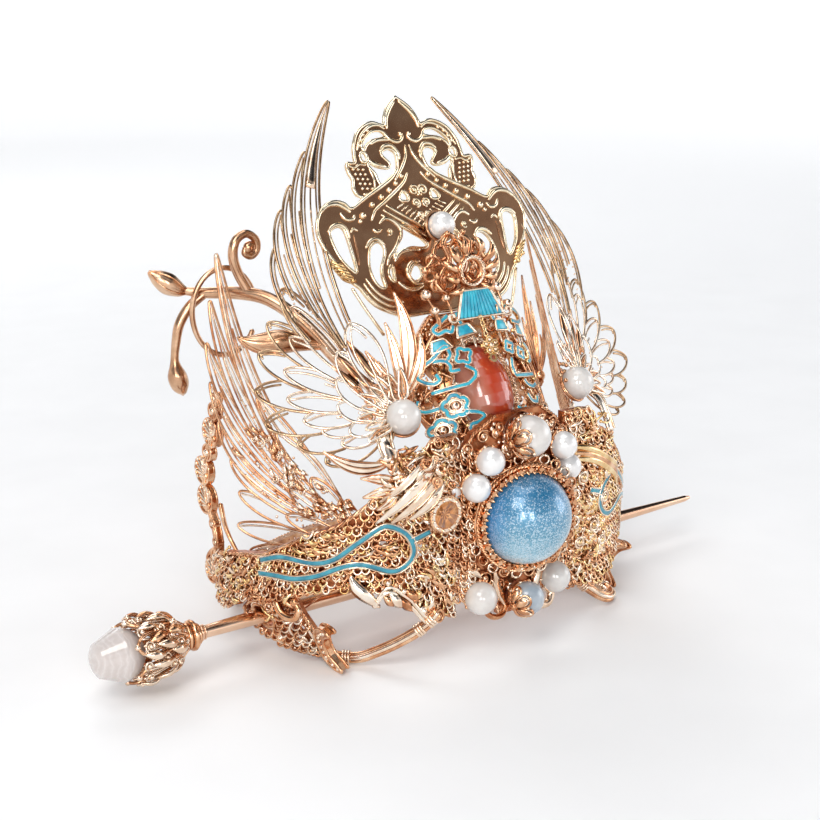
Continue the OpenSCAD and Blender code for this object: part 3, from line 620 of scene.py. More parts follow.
pearl = stone("pearl", [(0.3, (0.74, 0.72, 0.71)), (0.7, (0.86, 0.85, 0.84))], 0.16, 160, bump=0.03,
              Metallic=0.25)
quartz = stone("quartz", [(0.25, (0.58, 0.53, 0.50)), (0.5, (0.66, 0.63, 0.60)), (0.75, (0.76, 0.74, 0.71))],
               0.05, 240, **inner_light(0.3))
grey_quartz = stone("grey_quartz", [(0.25, (0.30, 0.35, 0.40)), (0.5, (0.38, 0.43, 0.48)),
                                    (0.75, (0.52, 0.56, 0.59))], 0.05, 260, **inner_light(0.25))
# painted shade and painted light: a dark copy of the amber for the shaded facets, and a pale one for the lit
# facets
amber_painted_shade = stone("amber_painted_shade", [(0.25, (0.14, 0.04, 0.012)), (0.5, (0.30, 0.11, 0.035)),
                                  (0.75, (0.50, 0.23, 0.09))], 0.04, 900)
amber_glass = stone("amber_glass", [(0.25, (0.40, 0.13, 0.03)), (0.5, (0.64, 0.25, 0.07)),
                                    (0.75, (0.92, 0.55, 0.24))], 0.04, 900, coat=0.5)
agate = agate_with_painted_highlight("agate")
blue_glass = glitter_glass("blue_glass")
drop_quartz = veined("veined_quartz")


def finish_node(name, material):
    """Gives a CAD node that stays in view its procedural material."""
    slots = nodes[name].data.materials
    if not slots:
        slots.append(material)
    for k in range(len(slots)):
        slots[k] = material


FINISHES = {
    # painted shade: the solid front plate, nets and tails under the filigree take the dark rose that stands in
    # for the shade in their gaps
    painted_shade_rose: "front_plate side_net_right side_net_left tail_right tail_left",
    rose: "crest_ring tail_fin_right tail_fin_left back_band blue_bezel centre_frame top_pearl_cup plume_right"
          " plume_left",
    pale: "oval_setting amber_cup",
    gold: "charm_flower",
    pin_gold: "pin_shaft",
    pearl: "top_pearl pearl_right_upper pearl_right_lower pearl_left_upper pearl_left_lower pearl_left_side",
    quartz: "wing_bead_right wing_bead_left crown_bead base_bead_right base_bead_left",
    grey_quartz: "base_bead_centre",
    blue_glass: "blue_cabochon",
    agate: "oval_cabochon",
    drop_quartz: "pin_drop",
}
for material, names in FINISHES.items():
    for name in names.split():
        finish_node(name, material)


# Stage, lights and camera

CAMERA_AT = (-0.18397, -0.24558, 0.12943)
CAMERA_WAY = (0.5709, 0.7772, -0.2647)
SENSOR = 36.0
# Focal length in pixels, and the photograph's width
FOCAL, PHOTO_WIDTH = 1400, 820


def put(name, data, at=(0, 0, 0), way=None):
    """Links a new object, turned so that it looks along way."""
    obj = bpy.data.objects.new(name, data)
    bpy.context.scene.collection.objects.link(obj)
    obj.location = at
    if way:
        obj.rotation_euler = Vector(way).to_track_quat("-Z", "Y").to_euler()
    return obj


def set_camera():
    cam = bpy.data.cameras.new("camera")
    cam.sensor_width = SENSOR
    cam.lens = FOCAL / PHOTO_WIDTH * SENSOR
    cam.clip_start = 0.01
    cam.clip_end = 50
    bpy.context.scene.camera = put("camera", cam, CAMERA_AT, CAMERA_WAY)


# Columns: name, place, aim, width and height, power, colour. The panes show as highlights in the stones
LIGHTS = [
    ("key", (-0.55, -0.35, 0.75), (0, 0, 0.05), (0.45, 0.45), 3.2, (1.0, 0.97, 0.93)),
    ("fill", (1.0, -0.45, 0.3), (0, 0, 0.05), (0.5, 0.5), 1.7, (0.95, 0.97, 1.0)),
    ("pane_left", (-0.50, -0.56, 0.28), (0, 0, 0.04), (0.15, 0.22), 0.9, (1, 1, 1)),
    ("pane_right", (-0.26, -0.70, 0.28), (0, 0, 0.04), (0.15, 0.22), 0.9, (1, 1, 1)),
    ("rim", (0.15, 0.8, 0.7), (0, 0, 0.06), (0.6, 0.4), 2.6, (1, 1, 1)),
    ("top", (0.0, 0.0, 1.2), (0, 0, 0), (0.7, 0.7), 3.0, (1, 1, 1)),
]


def area_light(name, at, aim, size, power, colour):
    light = bpy.data.lights.new(name, "AREA")
    light.shape = "RECTANGLE"
    light.size, light.size_y = size
    light.energy = power
    light.color = colour
    put(name, light, at, Vector(aim) - Vector(at)).visible_camera = False


# Radius of the flat floor, height of the curve at its edge, and the corners round it, in metres
FLOOR_FLAT, FLOOR_RISE, FLOOR_CORNERS = 1.5, 0.6, 64
# Distance from the middle over the floor's reach, and the ground's own light there
FLOOR_REACH = 2.2
FLOOR_GLOW = [(0.08, 0.0), (0.22, 0.09), (0.32, 0.18), (0.42, 0.28), (0.55, 0.43), (0.77, 0.52), (1.0, 0.6)]


def floor_look():
    g = new_look("floor")
    tint = g.ramp(g.noise(30.0, 3.0, 0.5), [(0.3, (0.90,) * 3), (0.7, (0.93,) * 3)])
    # far from the part the studio's white ground is lit by itself
    xyz = g.split()
    level = g.node("CombineXYZ", {"X": xyz["X"], "Y": xyz["Y"]}).outputs["Vector"]
    away = g.node("VectorMath", {0: level}, operation="LENGTH").outputs["Value"]
    stops = [(d, (light,) * 3) for d, light in FLOOR_GLOW]
    glow = g.ramp(g.math("DIVIDE", away, FLOOR_REACH), stops, "B_SPLINE")
    g.fill(g.shader, {"Base Color": tint, "Roughness": 0.9, "Specular IOR Level": 0.1,
                      "Emission Color": glow, "Emission Strength": 1.0})
    return g.owner


def make_stage():
    """A round white floor whose edge curves up into a low wall, the same from every side."""
    rows = [(0.3, 0.0), (1.0, 0.0), (FLOOR_FLAT, 0.0)]
    for a in np.radians(np.arange(10, 91, 10)):
        rows.append((FLOOR_FLAT + FLOOR_RISE * math.sin(a), FLOOR_RISE - FLOOR_RISE * math.cos(a)))
    n = FLOOR_CORNERS
    verts = np.vstack([(0, 0, 0)] + [circle_line(r, z, n) for r, z in rows])
    faces = [(0, 1 + k, 1 + (k + 1) % n) for k in range(n)]
    faces += [tuple(1 + i for i in f) for f in lattice(len(rows), n)]
    mesh = bpy.data.meshes.new("floor")
    mesh.from_pydata(verts.tolist(), [], faces)
    mesh.polygons.foreach_set("use_smooth", [True] * len(mesh.polygons))
    mesh.materials.append(floor_look())
    put("floor", mesh)


# The studio round the floor: dark cloth, grey wall and pale panels
CLOTH_WAY = (0.5, -0.69, 0.53)
STUDIO_TONES = [(0.36, (0.02, 0.022, 0.028)), (0.47, (0.10, 0.11, 0.13)), (0.56, (0.42, 0.44, 0.48)),
                (0.66, (0.80, 0.82, 0.85))]


def make_world():
    world = bpy.data.worlds.new("studio")
    bpy.context.scene.world = world
    g = Graph(world, "Background", "Generated")
    tone = g.ramp(g.noise(2.1, 1.0, 0.4), STUDIO_TONES)
    # dark cloth in the way that the back plate mirrors
    g.fill(g.shader, {"Color": tone, "Strength": g.spread(g.dot(CLOTH_WAY), 1.0, 0.7, 0.80, 0.95)})


set_camera()
make_stage()
make_world()
for row in LIGHTS:
    area_light(*row)
bpy.context.scene.view_settings.view_transform = "Standard"


# Feathers. Columns: root, bend and tip of the midline, width, and how far up the widest place lies


def feather_outline(f, n=22, shrink=0.0):
    a, b, c = (np.asarray(q, float) for q in f[:3])
    width, widest = f[3:]
    # more points towards the round tip
    t = 1 - (1 - np.linspace(0, 1, n)) ** 1.6
    col = t[:, None]
    p = (1 - col) ** 2 * a + 2 * col * (1 - col) * b + col * col * c
    d = unit(2 * (1 - col) * (b - a) + 2 * col * (c - b))
    half = width / 2 * np.sin(np.radians(180 * (t * 0.985 + 0.0075) ** widest)) ** 0.55
    half = np.maximum(half - shrink, 0.02)
    across = np.column_stack([-d[:, 1], d[:, 0]]) * half[:, None]
    tip = c + d[-1] * (half[-1] * 0.5 - shrink)
    return np.vstack([p + across, tip[None], (p - across)[::-1]])


def part_of(line, start, end, step):
    """A part of a line, with points at even steps."""
    return dense(line[int(len(line) * start):int(len(line) * end)], step)


def feather_wires(piece, rows, wire, lift, inner, slots, inner_slots):
    """Wire outlines of overlapping feathers, the front one first. A wire stops where a feather covers it.

    inner gives some feathers a second line: how far inside it runs, and where it starts and ends."""
    outlines = [feather_outline(f) for f in rows]
    for i, line in enumerate(outlines):
        lines = [(dense(line), wire, slots[i % len(slots)])]
        if i in inner:
            off, start, end = inner[i]
            half = feather_outline(rows[i], shrink=off)
            lines.append((part_of(half, start, end, 0.35), wire * 0.8, inner_slots[i % len(inner_slots)]))
        for pts, w, slot in lines:
            for part in shown(pts, hidden_by(pts, outlines[:i])):
                piece.wire(flat(part, lift - 0.07 * i), w, slot)


# Upper wings

INNER_COVERTS = [
    ((3, 3), (5, 12), (8.2, 20.6), 6.8, 1.4),
    ((3.4, 2.6), (4, 9), (6, 15.6), 3.6, 1.3),
    ((4, 2), (8.4, 8), (11.4, 14.8), 5, 1.4),
    ((4, 1), (9, 4.4), (12.4, 9), 4.6, 1.4),
    ((4, 0), (9, 1), (13, 3.4), 4.2, 1.4),
    ((4, -0.6), (8, -1.6), (11.4, -2.4), 3.6, 1.4),
]
MID_COVERTS = [
    ((6, 6), (14, 15), (19.6, 25.2), 4.6, 1.4),
    ((6, 5.4), (14.6, 12.6), (20.8, 18.6), 4.6, 1.4),
    ((6, 4), (14.4, 8), (22.8, 11.6), 4.6, 1.4),
    ((6, 3), (14.6, 4), (22.9, 5.6), 4.4, 1.4),
    ((6, 1), (13, 1), (20.2, 0.8), 4.2, 1.4),
    ((5, 0), (11, -1.4), (16.8, -1.6), 4, 1.4),
    ((3, -2), (8, -3.6), (13.2, -4.6), 3.6, 1.4),
]
SECONDARIES = [
    ((6, 6), (16, 18), (21, 29.6), 6, 1.5),
    ((6, 5), (17, 14), (24.8, 22.2), 6.2, 1.5),
    ((6, 4), (18, 10), (27.4, 15.6), 6.4, 1.5),
    ((6, 2), (18, 6), (29, 7.8), 6.4, 1.5),
    ((6, 1), (17, 1), (27.8, 0.8), 6.2, 1.5),
    ((5, -1), (13, -3), (21.9, -4), 5.8, 1.5),
    ((3, -2), (9, -5.4), (16.8, -8), 5.2, 1.5),
    ((2, -2), (6, -6), (11.8, -9.6), 4.6, 1.5),
]
PRIMARIES = [
    ((2.5, 5), (18.5, 40), (-2.4, 73.6), 4.4, 0.9),
    ((2.5, 5), (18.8, 37), (6, 61.4), 3.8, 1),
    ((2.5, 5), (19.4, 34.6), (11.2, 53.6), 3.8, 1),
    ((2.5, 4), (21.6, 31), (14.6, 48), 4, 1),
    ((2.5, 4), (23, 27), (17, 40.5), 4.2, 1.1),
]
PALE, BROWN, ROSE, WHITE = range(4)
FAN = INNER_COVERTS + MID_COVERTS + SECONDARIES
FAN_TONES = [WHITE] * len(INNER_COVERTS) + [PALE] * len(MID_COVERTS) + [BROWN] * len(SECONDARIES)
FAN_INNER = {WHITE: None, PALE: (1.2, 0.1, 0.46), BROWN: (0.9, 0.3, 0.62)}


def fan_feathers(p):
    inner = {i: FAN_INNER[tone] for i, tone in enumerate(FAN_TONES) if FAN_INNER[tone]}
    inner.update({0: (1.3, 0.3, 0.93), 2: (1.1, 0.08, 0.5), 3: (1.0, 0.08, 0.45)})
    feather_wires(p, FAN, 0.32, 0.55, inner, FAN_TONES, FAN_TONES)
    # quills that spread from the bead into the coverts
    shapes = [feather_outline(f) for f in FAN]
    for i, f in enumerate(FAN):
        line = bend(*f[:3], 40)
        root = 3.4 * line[0] / max(np.hypot(*line[0]), 0.1)
        quill = np.vstack([np.linspace(root, line[0], 6)[:-1], line[:16 if i % 2 else 22]])
        pts = dense(quill, 0.5)
        for part in shown(pts, hidden_by(pts, shapes[:i])):
            p.wire(flat(part, 0.5 - 0.05 * i), 0.26, FAN_TONES[i])
    # small feathers round the bead, before all others
    small = []
    for k in range(9):
        a = 92 - 15.5 * k
        reach = 10.2 - 0.9 * (k % 2) - 0.12 * k
        ends = [turned(r, a + math.degrees(b)) for r, b in ((3.5, 0), (0.66 * reach, 0.12), (reach, 0.02))]
        small.append((*ends, 1.9, 0.62))
    feather_wires(p, small, 0.3, 1.0, {k: (0.55, 0.12, 0.5) for k in range(0, 9, 2)}, (WHITE, PALE), (ROSE,))


def long_feathers(p):
    """A strip on each edge and fine wires between them, behind the coverts."""
    outlines = [feather_outline(f, 30) for f in PRIMARIES]
    covers = [feather_outline(f) for f in INNER_COVERTS + MID_COVERTS[:1]]
    to_fan = np.linalg.inv(UPPER_FAN) @ UPPER_LONG
    for i, f in enumerate(PRIMARIES):
        half = feather_outline(f, 30, 0.75)
        middle = bend(*f[:3], 60)
        lines = [(dense(outlines[i], 0.5), 0.32)]
        lines += [(part_of(half, *ends, 0.5), 0.2) for ends in ((0.04, 0.44), (0.56, 0.9))]
        if i < 4:
            lines.append((dense(middle[:44], 0.5), 0.2))
        for pts, w in lines:
            on_fan = place(to_fan, flat(pts))[:, :2]
            hidden = hidden_by(pts, outlines[:i]) | hidden_by(on_fan, covers)
            hidden |= on_fan[:, 1] < 13 + 0.2 * on_fan[:, 0]
            for part in shown(pts, hidden):
                p.wire(flat(part, 0.1 - 0.1 * i), w, BROWN, 8, 0.7)
        # fine grains where the wires run close
        for q in middle[24:38:3]:
            p.grain((*q, 0.25), 0.24, PALE, 5)
    # a solid blade at the tip of the longest feather
    tip = bend(*PRIMARIES[0][:3], 40)[27:]
    p.leaf(flat(tip, 0.1), np.linspace(1.3, 0.15, len(tip)), PALE, 0.4, 0.12)


# Polished leaves among the inner coverts. Columns: root, bend, tip, half width
COVERT_LEAVES = [((4, 8), (6.5, 12), (9.4, 17.4), 1.1), ((5, 6), (8.5, 9), (11.4, 13.6), 1.0),
                 ((7.4, 5.4), (9.6, 8.6), (13.4, 12.2), 0.8)]
# Columns: x, y, radius
ROOT_COILS = [(4.6, 6.0, 1.5), (6.6, 3.6, 1.3), (2.4, 8.2, 1.2), (6.8, 0.4, 1.1), (8.6, 6.4, 0.9)]


def upper_root(p):
    """The leaves, ring, strap and coils at the wing's root."""
    for *line, w in COVERT_LEAVES:
        p.leaf(flat(bend(*line), 0.2), bulge(np.linspace(0, 1, 14), w, 0.08, (0.96, 0.03)), ROSE, 0.3)
    for r, w, z in ((3.1, 0.4, -2.1), (3.7, 0.3, -1.4)):
        p.ring(circle_line(r, z, 30), w, ROSE)
    strap = smooth([(4.4, -2.2, -1), (4.7, -5.4, 0.1), (3.9, -9.2, 0.1), (2.6, -12.6, 0)], 8)
    p.leaf(strap, np.linspace(1.7, 1.5, len(strap)), WHITE, 0.8, 0.1)
    for s in (-1, 1):
        p.tube(strap + (s * 1.45, 0, 0.35), 0.26, PALE)
    for k in range(16):
        p.bead((*turned(4.6 + 0.8 * (k % 3), 10 + k * 10), 0.2), 0.5, ROSE if k % 2 else BROWN)
    for k, (x, y, r) in enumerate(ROOT_COILS):
        p.coil(x, y, 0.5, r, 40 * k, 620, 30, 0.17, ROSE)
        p.bead((x, y, 0.6), 0.4, BROWN)


def upper_wing():
    p = Piece("upper_wing_right_wire", UPPER_FAN)
    fan_feathers(p)
    p.frame = UPPER_LONG
    long_feathers(p)
    p.frame = UPPER_FAN
    upper_root(p)
    return p


upper_wing().build_both([pale, brown_gold, rose, white_gold], "pale_gold", "upper_wing")


# Lower wings

LOWER_LONG = [
    ((3, 3), (30, 18), (40.6, 58.4), 4.4, 0.8),
    ((3, 3), (33, 18), (41.4, 48.4), 3.8, 0.9),
    ((4, 3), (34, 17), (41.6, 39.4), 3.8, 1),
    ((4, 3), (33, 14), (40, 31.2), 4, 1.1),
    ((4, 2), (31, 10), (37.4, 23), 4, 1.2),
    ((4, 2), (27, 8), (34, 15.5), 4.2, 1.3),
    ((4, 2), (22, 4), (31.6, 8.6), 4.2, 1.3),
    ((4, 1), (20, 0), (31.4, 1.6), 4.2, 1.3),
    ((4, 0), (18, -3), (28.2, -3.6), 4.0, 1.3),
]
LOWER_INNER = [
    ((4, 4), (9, 9), (15, 13.4), 3.6, 1.4),
    ((4, 3), (12, 6.4), (20, 11), 4, 1.4),
    ((4, 2), (12, 3), (20, 5), 3.6, 1.4),
    ((4, 4), (14, 14), (23.4, 22), 4.6, 1.4),
    ((5, 5), (18, 17), (28.6, 29), 4.6, 1.3),
]
OUTER_FEATHER = [(4, 4), (13.4, 16.6), (21.7, 21.2), (27.5, 28), (31.1, 32), (35.1, 39), (38.5, 49.4),
                 (40.6, 58.6)]
TENDRILS = [
    [(4, 2), (14, -3), (21, -6), (24.6, -4.4), (24, -2.6)],
    [(4, 1), (12, -5), (20, -9.6), (24.4, -9), (25.2, -7)],
    [(3, 0), (10, -6), (17.6, -12), (21.6, -12.4), (22.6, -10.8)],
    [(3, -1), (8, -7), (14, -13.4), (17.8, -15), (19.6, -13.6)],
]
PAD_COILS = [(3.4, 2.6, 2.2), (7.4, 5.8, 1.3), (8.6, 2.4, 1.1), (6.4, 9.2, 1.0), (11.4, 6.2, 0.9)]


def lower_wing():
    p = Piece("lower_wing_right_wire", LOWER_WING)
    rows = LOWER_INNER + LOWER_LONG
    feather_wires(p, rows, 0.3, 0.5, {i: (0.8, 0.08, 0.46) for i in range(len(rows))}, (0,), (1,))
    # a second line on the other edge of each long feather
    for i, f in enumerate(LOWER_LONG[:6]):
        edge = part_of(feather_outline(f, 30, 1.1), 0.58, 0.92, 0.6)
        p.wire(flat(edge, 0.1 - 0.07 * i), 0.2)
        p.wire(flat(dense(bend(*f[:3], 60)[6:48], 0.6), 0.2 - 0.07 * i), 0.24, i % 2, flatten=0.6)
    p.wire(flat(smooth(OUTER_FEATHER, 8), 0.3), 0.32, 1)
    # grains lie along the wires
    rnd = random.Random(11)
    for f in LOWER_LONG:
        for x, y in bend(*f[:3], 80)[14:52:2]:
            if rnd.random() < 0.55:
                o = (rnd.random() - 0.5) * 1.6
                size = 0.22 + 0.14 * rnd.random()
                p.grain((x + o, y - o * 0.6, 0.45), size, rnd.choice((0, 1, 1)), 5)
    # small leaves and curls crowd towards the root
    q = np.linspace(0, 1, 8)
    for k in range(46):
        t = rnd.random() ** 1.3
        x, y = 5 + 24 * t + rnd.uniform(-2.2, 2.2), 4 + 15 * t + rnd.uniform(-3.0, 3.6)
        heading = rnd.uniform(10, 75)
        ends = (x, y) + np.outer(q, turned(rnd.uniform(1.8, 3.6), heading))
        line = np.column_stack([ends, 0.5 + 0.9 * np.sin(np.pi * q)])
        p.leaf(line, bulge(q, 0.55, 0.05, (0.94, 0.04)), rnd.choice((0, 0, 1)), 0.3, 0.5)
        if k % 3 == 0:
            p.coil(x, y, 0.75, rnd.uniform(0.7, 1.2), 50 * k, 560, 20, 0.2, 1, 0.25)
    # thin curled wires that end in a grain
    for pts in TENDRILS:
        line = smooth(pts, 8)
        p.tube(flat(line), np.linspace(0.24, 0.13, len(line)))
        p.bead((*pts[-1], 0), 0.42, 1)
    # scrolls at the root, over the pad, and the pin that holds it
    for k, (x, y, r) in enumerate(PAD_COILS):
        p.coil(x, y, 0.6, r, 70 * k, 760, 34, 0.2)
        p.bead((x, y, 0.75), 0.45, 1)
    p.tube(smooth([(3.4, 2.6, 0), (3.4, 2.6, 2), (3.4, 2.6, 4.1)], 4), 1.1, 0, 12)
    return p


lower_wing().build_both([rose, pale], "rose_gold", "lower_wing")


# Side nets: rows of small overlapping rings on the wall

NET_ANGLES = (-7.6, 1, 5.6, 12.5, 18, 29, 40, 54, 72, 84, 96, 107)
NET_LOW_LEFT = list(zip(NET_ANGLES, (9, 11, 12, 14.2, 16, 18.6, 18.8, 17, 14, 12.6, 8.2, 8.2)))
NET_LOW_RIGHT = list(zip(NET_ANGLES, (8.6, 8.4, 8, 7, 6, 9, 14, 17, 14, 12.6, 8.2, 8.2)))
NET_TOP = list(zip(NET_ANGLES, (49.4, 49.4, 49.4, 44.4, 43, 37.6, 33, 29.8, 24.4, 23, 21, 18)))
NET_PITCH, NET_ROW = 3.15, 1.42


def ring_at(p, centre, angle, r, wire, slot, droop=0.9, tilt=(0.0, 1.0), n=10, sides=5):
    """A small ring on an upright wall that leans out at its lower edge, like a scale."""
    out = np.array(outward(angle))
    up = np.array((*(-tilt[0] * out[:2]), tilt[1]))
    t = np.radians(around(n))
    pts = centre + np.outer(np.cos(t) * r, (-out[1], out[0], 0)) + np.outer(np.sin(t) * r * 1.12, up)
    p.ring(pts + np.outer((1 - np.sin(t)) * 0.5 * droop, out), wire, slot, sides)


# The enamelled loop, on the chord that part.scad draws it on
LOOP = [(11.4, 23.6), (6.4, 25.3), (0.3, 24.8), (-4.1, 25.8), (-8.4, 29.1), (-12.7, 32.3), (-14.8, 32.6),
        (-17.5, 30.6), (-18.7, 27.5), (-18.3, 25.1), (-16.7, 23.4), (-14.5, 23.1), (-9.8, 24.8), (-5.5, 24.2),
        (-1, 22.2), (3.8, 21), (8.2, 21), (11.9, 20.6)]
LOOP_STEM = [(-18.5, 29.1), (-21.4, 30.4)]
LOOP_ANGLE = 50


def loop_angles(points):
    """Angles round the rounded wall, for points on the chord."""
    return LOOP_ANGLE + np.degrees(np.arcsin(np.clip(np.asarray(points)[:, 0] / SIDE_R, -1, 1)))


def loop_at(points, out=0.0):
    q = np.asarray(points, float)
    return np.array([on_side(a, z, 1.05 + out) for a, z in zip(loop_angles(q), q[:, 1])])


def loop_normals(points):
    return np.array([outward(a) for a in loop_angles(points)])


LOOP_CLEAR = np.vstack([loop_at(smooth(LOOP)), loop_at(LOOP_STEM)])


def free(points):
    """True where a line stays on the wall and off the enamelled loop."""
    gaps = np.linalg.norm(points[:, None] - LOOP_CLEAR[None], axis=2)
    return points[:, 0].min() >= SIDE_START and gaps.min() > 1.35


# Crumpled leaves over the nets: range of angle, range of height, how many, heading and its spread
TANGLES_LEFT = [(-7, 20, 33, 48, 110, 200, 70), (10, 56, 24.5, 31, 70, 175, 25), (26, 62, 21.5, 26, 26, 170, 30),
                (-6, 14, 13, 24, 40, 230, 60), (56, 104, 10, 22, 40, 160, 60)]
TANGLES_RIGHT = [(-6, 24, 36, 47, 40, 160, 50), (-6, 12, 12, 16, 20, 200, 60), (30, 70, 20, 30, 30, 170, 40)]


def tangle(p, rnd, a0, a1, z0, z1, count, heading, spread):
    q = np.linspace(0, 1, 9)
    for _ in range(count):
        a, z = rnd.uniform(a0, a1), rnd.uniform(z0, z1)
        way = math.radians(heading + rnd.uniform(-spread, spread))
        length, bow, rise = rnd.uniform(2.0, 4.4), rnd.uniform(-0.9, 0.9), rnd.uniform(0.5, 1.1)
        half, kind, tone = rnd.uniform(0.3, 0.62), rnd.random(), rnd.choice((0, 0, 1, 2))
        along, across, lift = length * (q - 0.5), bow * np.sin(math.pi * q), 0.5 + rise * np.sin(math.pi * q)
        x = along * math.cos(way) - across * math.sin(way)
        y = along * math.sin(way) + across * math.cos(way)
        pts = np.array([on_side(a + math.degrees(u / SIDE_R), z + v, o) for u, v, o in zip(x, y, lift)])
        if not free(pts):
            continue
        if kind < 0.6:
            p.leaf(pts, bulge(q, half, 0.05, (0.94, 0.04), 0.8), tone, 0.3, 0.4, outward(a))
        else:
            p.tube(pts, 0.26, tone)
            p.grain(pts[-1], 0.42, tone, 5)


def net_rings(p, rnd, low):
    """Rings and grains in staggered rows between the net's lower and upper edge."""
    row, z = 0, 6.4
    while z < 50:
        a = -7.0 + (row % 2) * NET_PITCH / 2
        while a < 107:
            aa, zz = a + rnd.uniform(-0.5, 0.5), z + rnd.uniform(-0.25, 0.25)
            c = np.array(on_side(aa, zz, 0.2))
            on_wall = SIDE_X + SIDE_R * math.sin(math.radians(aa)) > SIDE_START
            if on_wall and table_at(low, aa) + 0.6 < zz < table_at(NET_TOP, aa) - 0.6:
                r = 0.82 + rnd.uniform(-0.16, 0.16)
                ring_at(p, c, aa, r, 0.24, rnd.choice((0, 0, 1, 2)))
                if rnd.random() < 0.5:
                    size = rnd.uniform(0.34, 0.55)
                    p.grain(c + np.array(outward(aa)) * 0.1, size, rnd.choice((0, 2, 1)), 5)
            a += NET_PITCH
        z += NET_ROW
        row += 1


def net_edge(p, rows, dz):
    """A rope of two wires along an edge of the net."""
    base = np.array([on_side(a, table_at(rows, a) + dz, 0.25) for a in np.arange(-7, 107, 0.9)])
    base = base[base[:, 0] > 14.6]
    phase = np.arange(len(base)) * 0.9
    out = unit((base - (SIDE_X, 0, 0)) * (1, 1, 0))
    for k in range(2):
        twist = phase + math.pi * k
        p.tube(base + np.outer(0.24 * np.cos(twist), UP) + out * (0.24 * np.sin(twist))[:, None], 0.3, 0, 5)


def side_net(name, low, tangles, seed):
    p = Piece(name)
    rnd = random.Random(seed)
    net_rings(p, rnd, low)
    net_edge(p, low, 0.35)
    net_edge(p, NET_TOP, -0.35)
    # scrolls with a grain in the middle, scattered over the rings
    for _ in range(26):
        a = rnd.uniform(-2, 88)
        lo, hi = table_at(low, a) + 1.6, table_at(NET_TOP, a) - 1.6
        if hi <= lo:
            continue
        zc, r = rnd.uniform(lo, hi), rnd.uniform(1.0, 1.8)
        start = rnd.uniform(0, 360)
        s = spiral((0, 0), 0.25, r, start, rnd.uniform(500, 760) - start)
        pts = np.array([on_side(a + math.degrees(x / SIDE_R), zc + y, 1.0) for x, y in s])
        if free(pts):
            p.tube(pts, 0.24, 1, 5)
            p.bead(on_side(a, zc, 1.1), 0.5, 2)
    for row in tangles:
        tangle(p, rnd, *row)
    return p


NET_METALS = [rose, pale, gold]
side_net("net_rings_right", NET_LOW_RIGHT, TANGLES_RIGHT, 21).build(NET_METALS, "rose_gold")
left_net = side_net("net_rings_left", NET_LOW_LEFT, TANGLES_LEFT, 22)
left_net.mirrored("net_rings_left").build(NET_METALS, "rose_gold")


# Back plate: a pierced sheet with raised bright lines, drawn for its right half

PLATE_EDGE = [
    (0, 40.6), (2.6, 38.6), (4, 36.6), (4.8, 34.4), (5.8, 34.4), (8, 35), (10.6, 34.2), (12.6, 32.6), (14, 30),
    (14.4, 28), (14.8, 26.2), (16.8, 26.2), (16.8, 24.2), (16.2, 22.6), (16.6, 20.8), (16, 19.2), (14.8, 18.4),
    (16.8, 17), (18.6, 16.4), (19.8, 17.6), (21.8, 18.2), (24, 17.8), (26, 16.4), (27.4, 14.4), (28, 12.2),
    (27.8, 10), (27, 7.8), (25.6, 5.4), (24, 3.4), (22.6, 0.8), (20.8, -1), (19.4, -3.4), (17.4, -5.4),
    (14.4, -7), (11, -8), (6, -8), (0, -8.2),
]
PLATE_GAPS = [
    [(25.2, 11.4), (24.2, 12.5), (22.6, 12.8), (21.4, 12), (21, 9.6), (20.8, 7), (20.6, 4.4), (20.9, 2.6),
     (22, 3.2), (23.8, 5.6), (24.8, 8.2)],
    [(16.4, 7), (15, 8.4), (13.4, 8.6), (12.4, 7.4), (12.8, 5.6), (14.2, 3.2), (14.6, 1), (14.4, -1.2),
     (15.6, -1.4), (17, 0.4), (17.4, 3.6)],
    [(6.6, 11.6), (4.6, 11.2), (2.6, 9), (1, 7), (2.2, 6.2), (5.6, 6.6), (8.6, 5.8), (10.6, 4.6), (9.2, 7.2),
     (7.4, 9.2)],
    [(7, 1.8), (5.8, 2.8), (4.4, 2.4), (4.2, 0.8), (5.6, -0.6), (7, -0.8), (7.7, 0.4)],
    [(7.4, 27.6), (6.8, 28.6), (5, 28.9), (3.6, 28), (3.5, 26.4), (4.2, 24.2), (6, 22.6), (9, 21), (9.8, 21.8),
     (10.2, 23.6), (11.5, 25.4), (10.8, 26), (9, 25), (6.6, 24.6), (5.8, 25.6)],
    [(10.6, 31.6), (8.4, 33), (6, 33), (5, 31.9), (6.4, 31.3), (9, 30.9), (10.8, 29.8), (11.6, 28.8), (11.9, 30)],
    [(13, 27.8), (12.3, 28.5), (11.4, 28.2), (11.2, 27), (12, 26.3), (12.8, 26.5)],
    [(5.4, 17.8), (4.1, 19.3), (3.1, 18.4), (3.2, 17.1), (4.8, 17)],
    [(12.9, 1.8), (12, 3.2), (11.4, 2.8), (11.6, 0.8), (11.8, -0.4), (12.7, 0.2)],
]
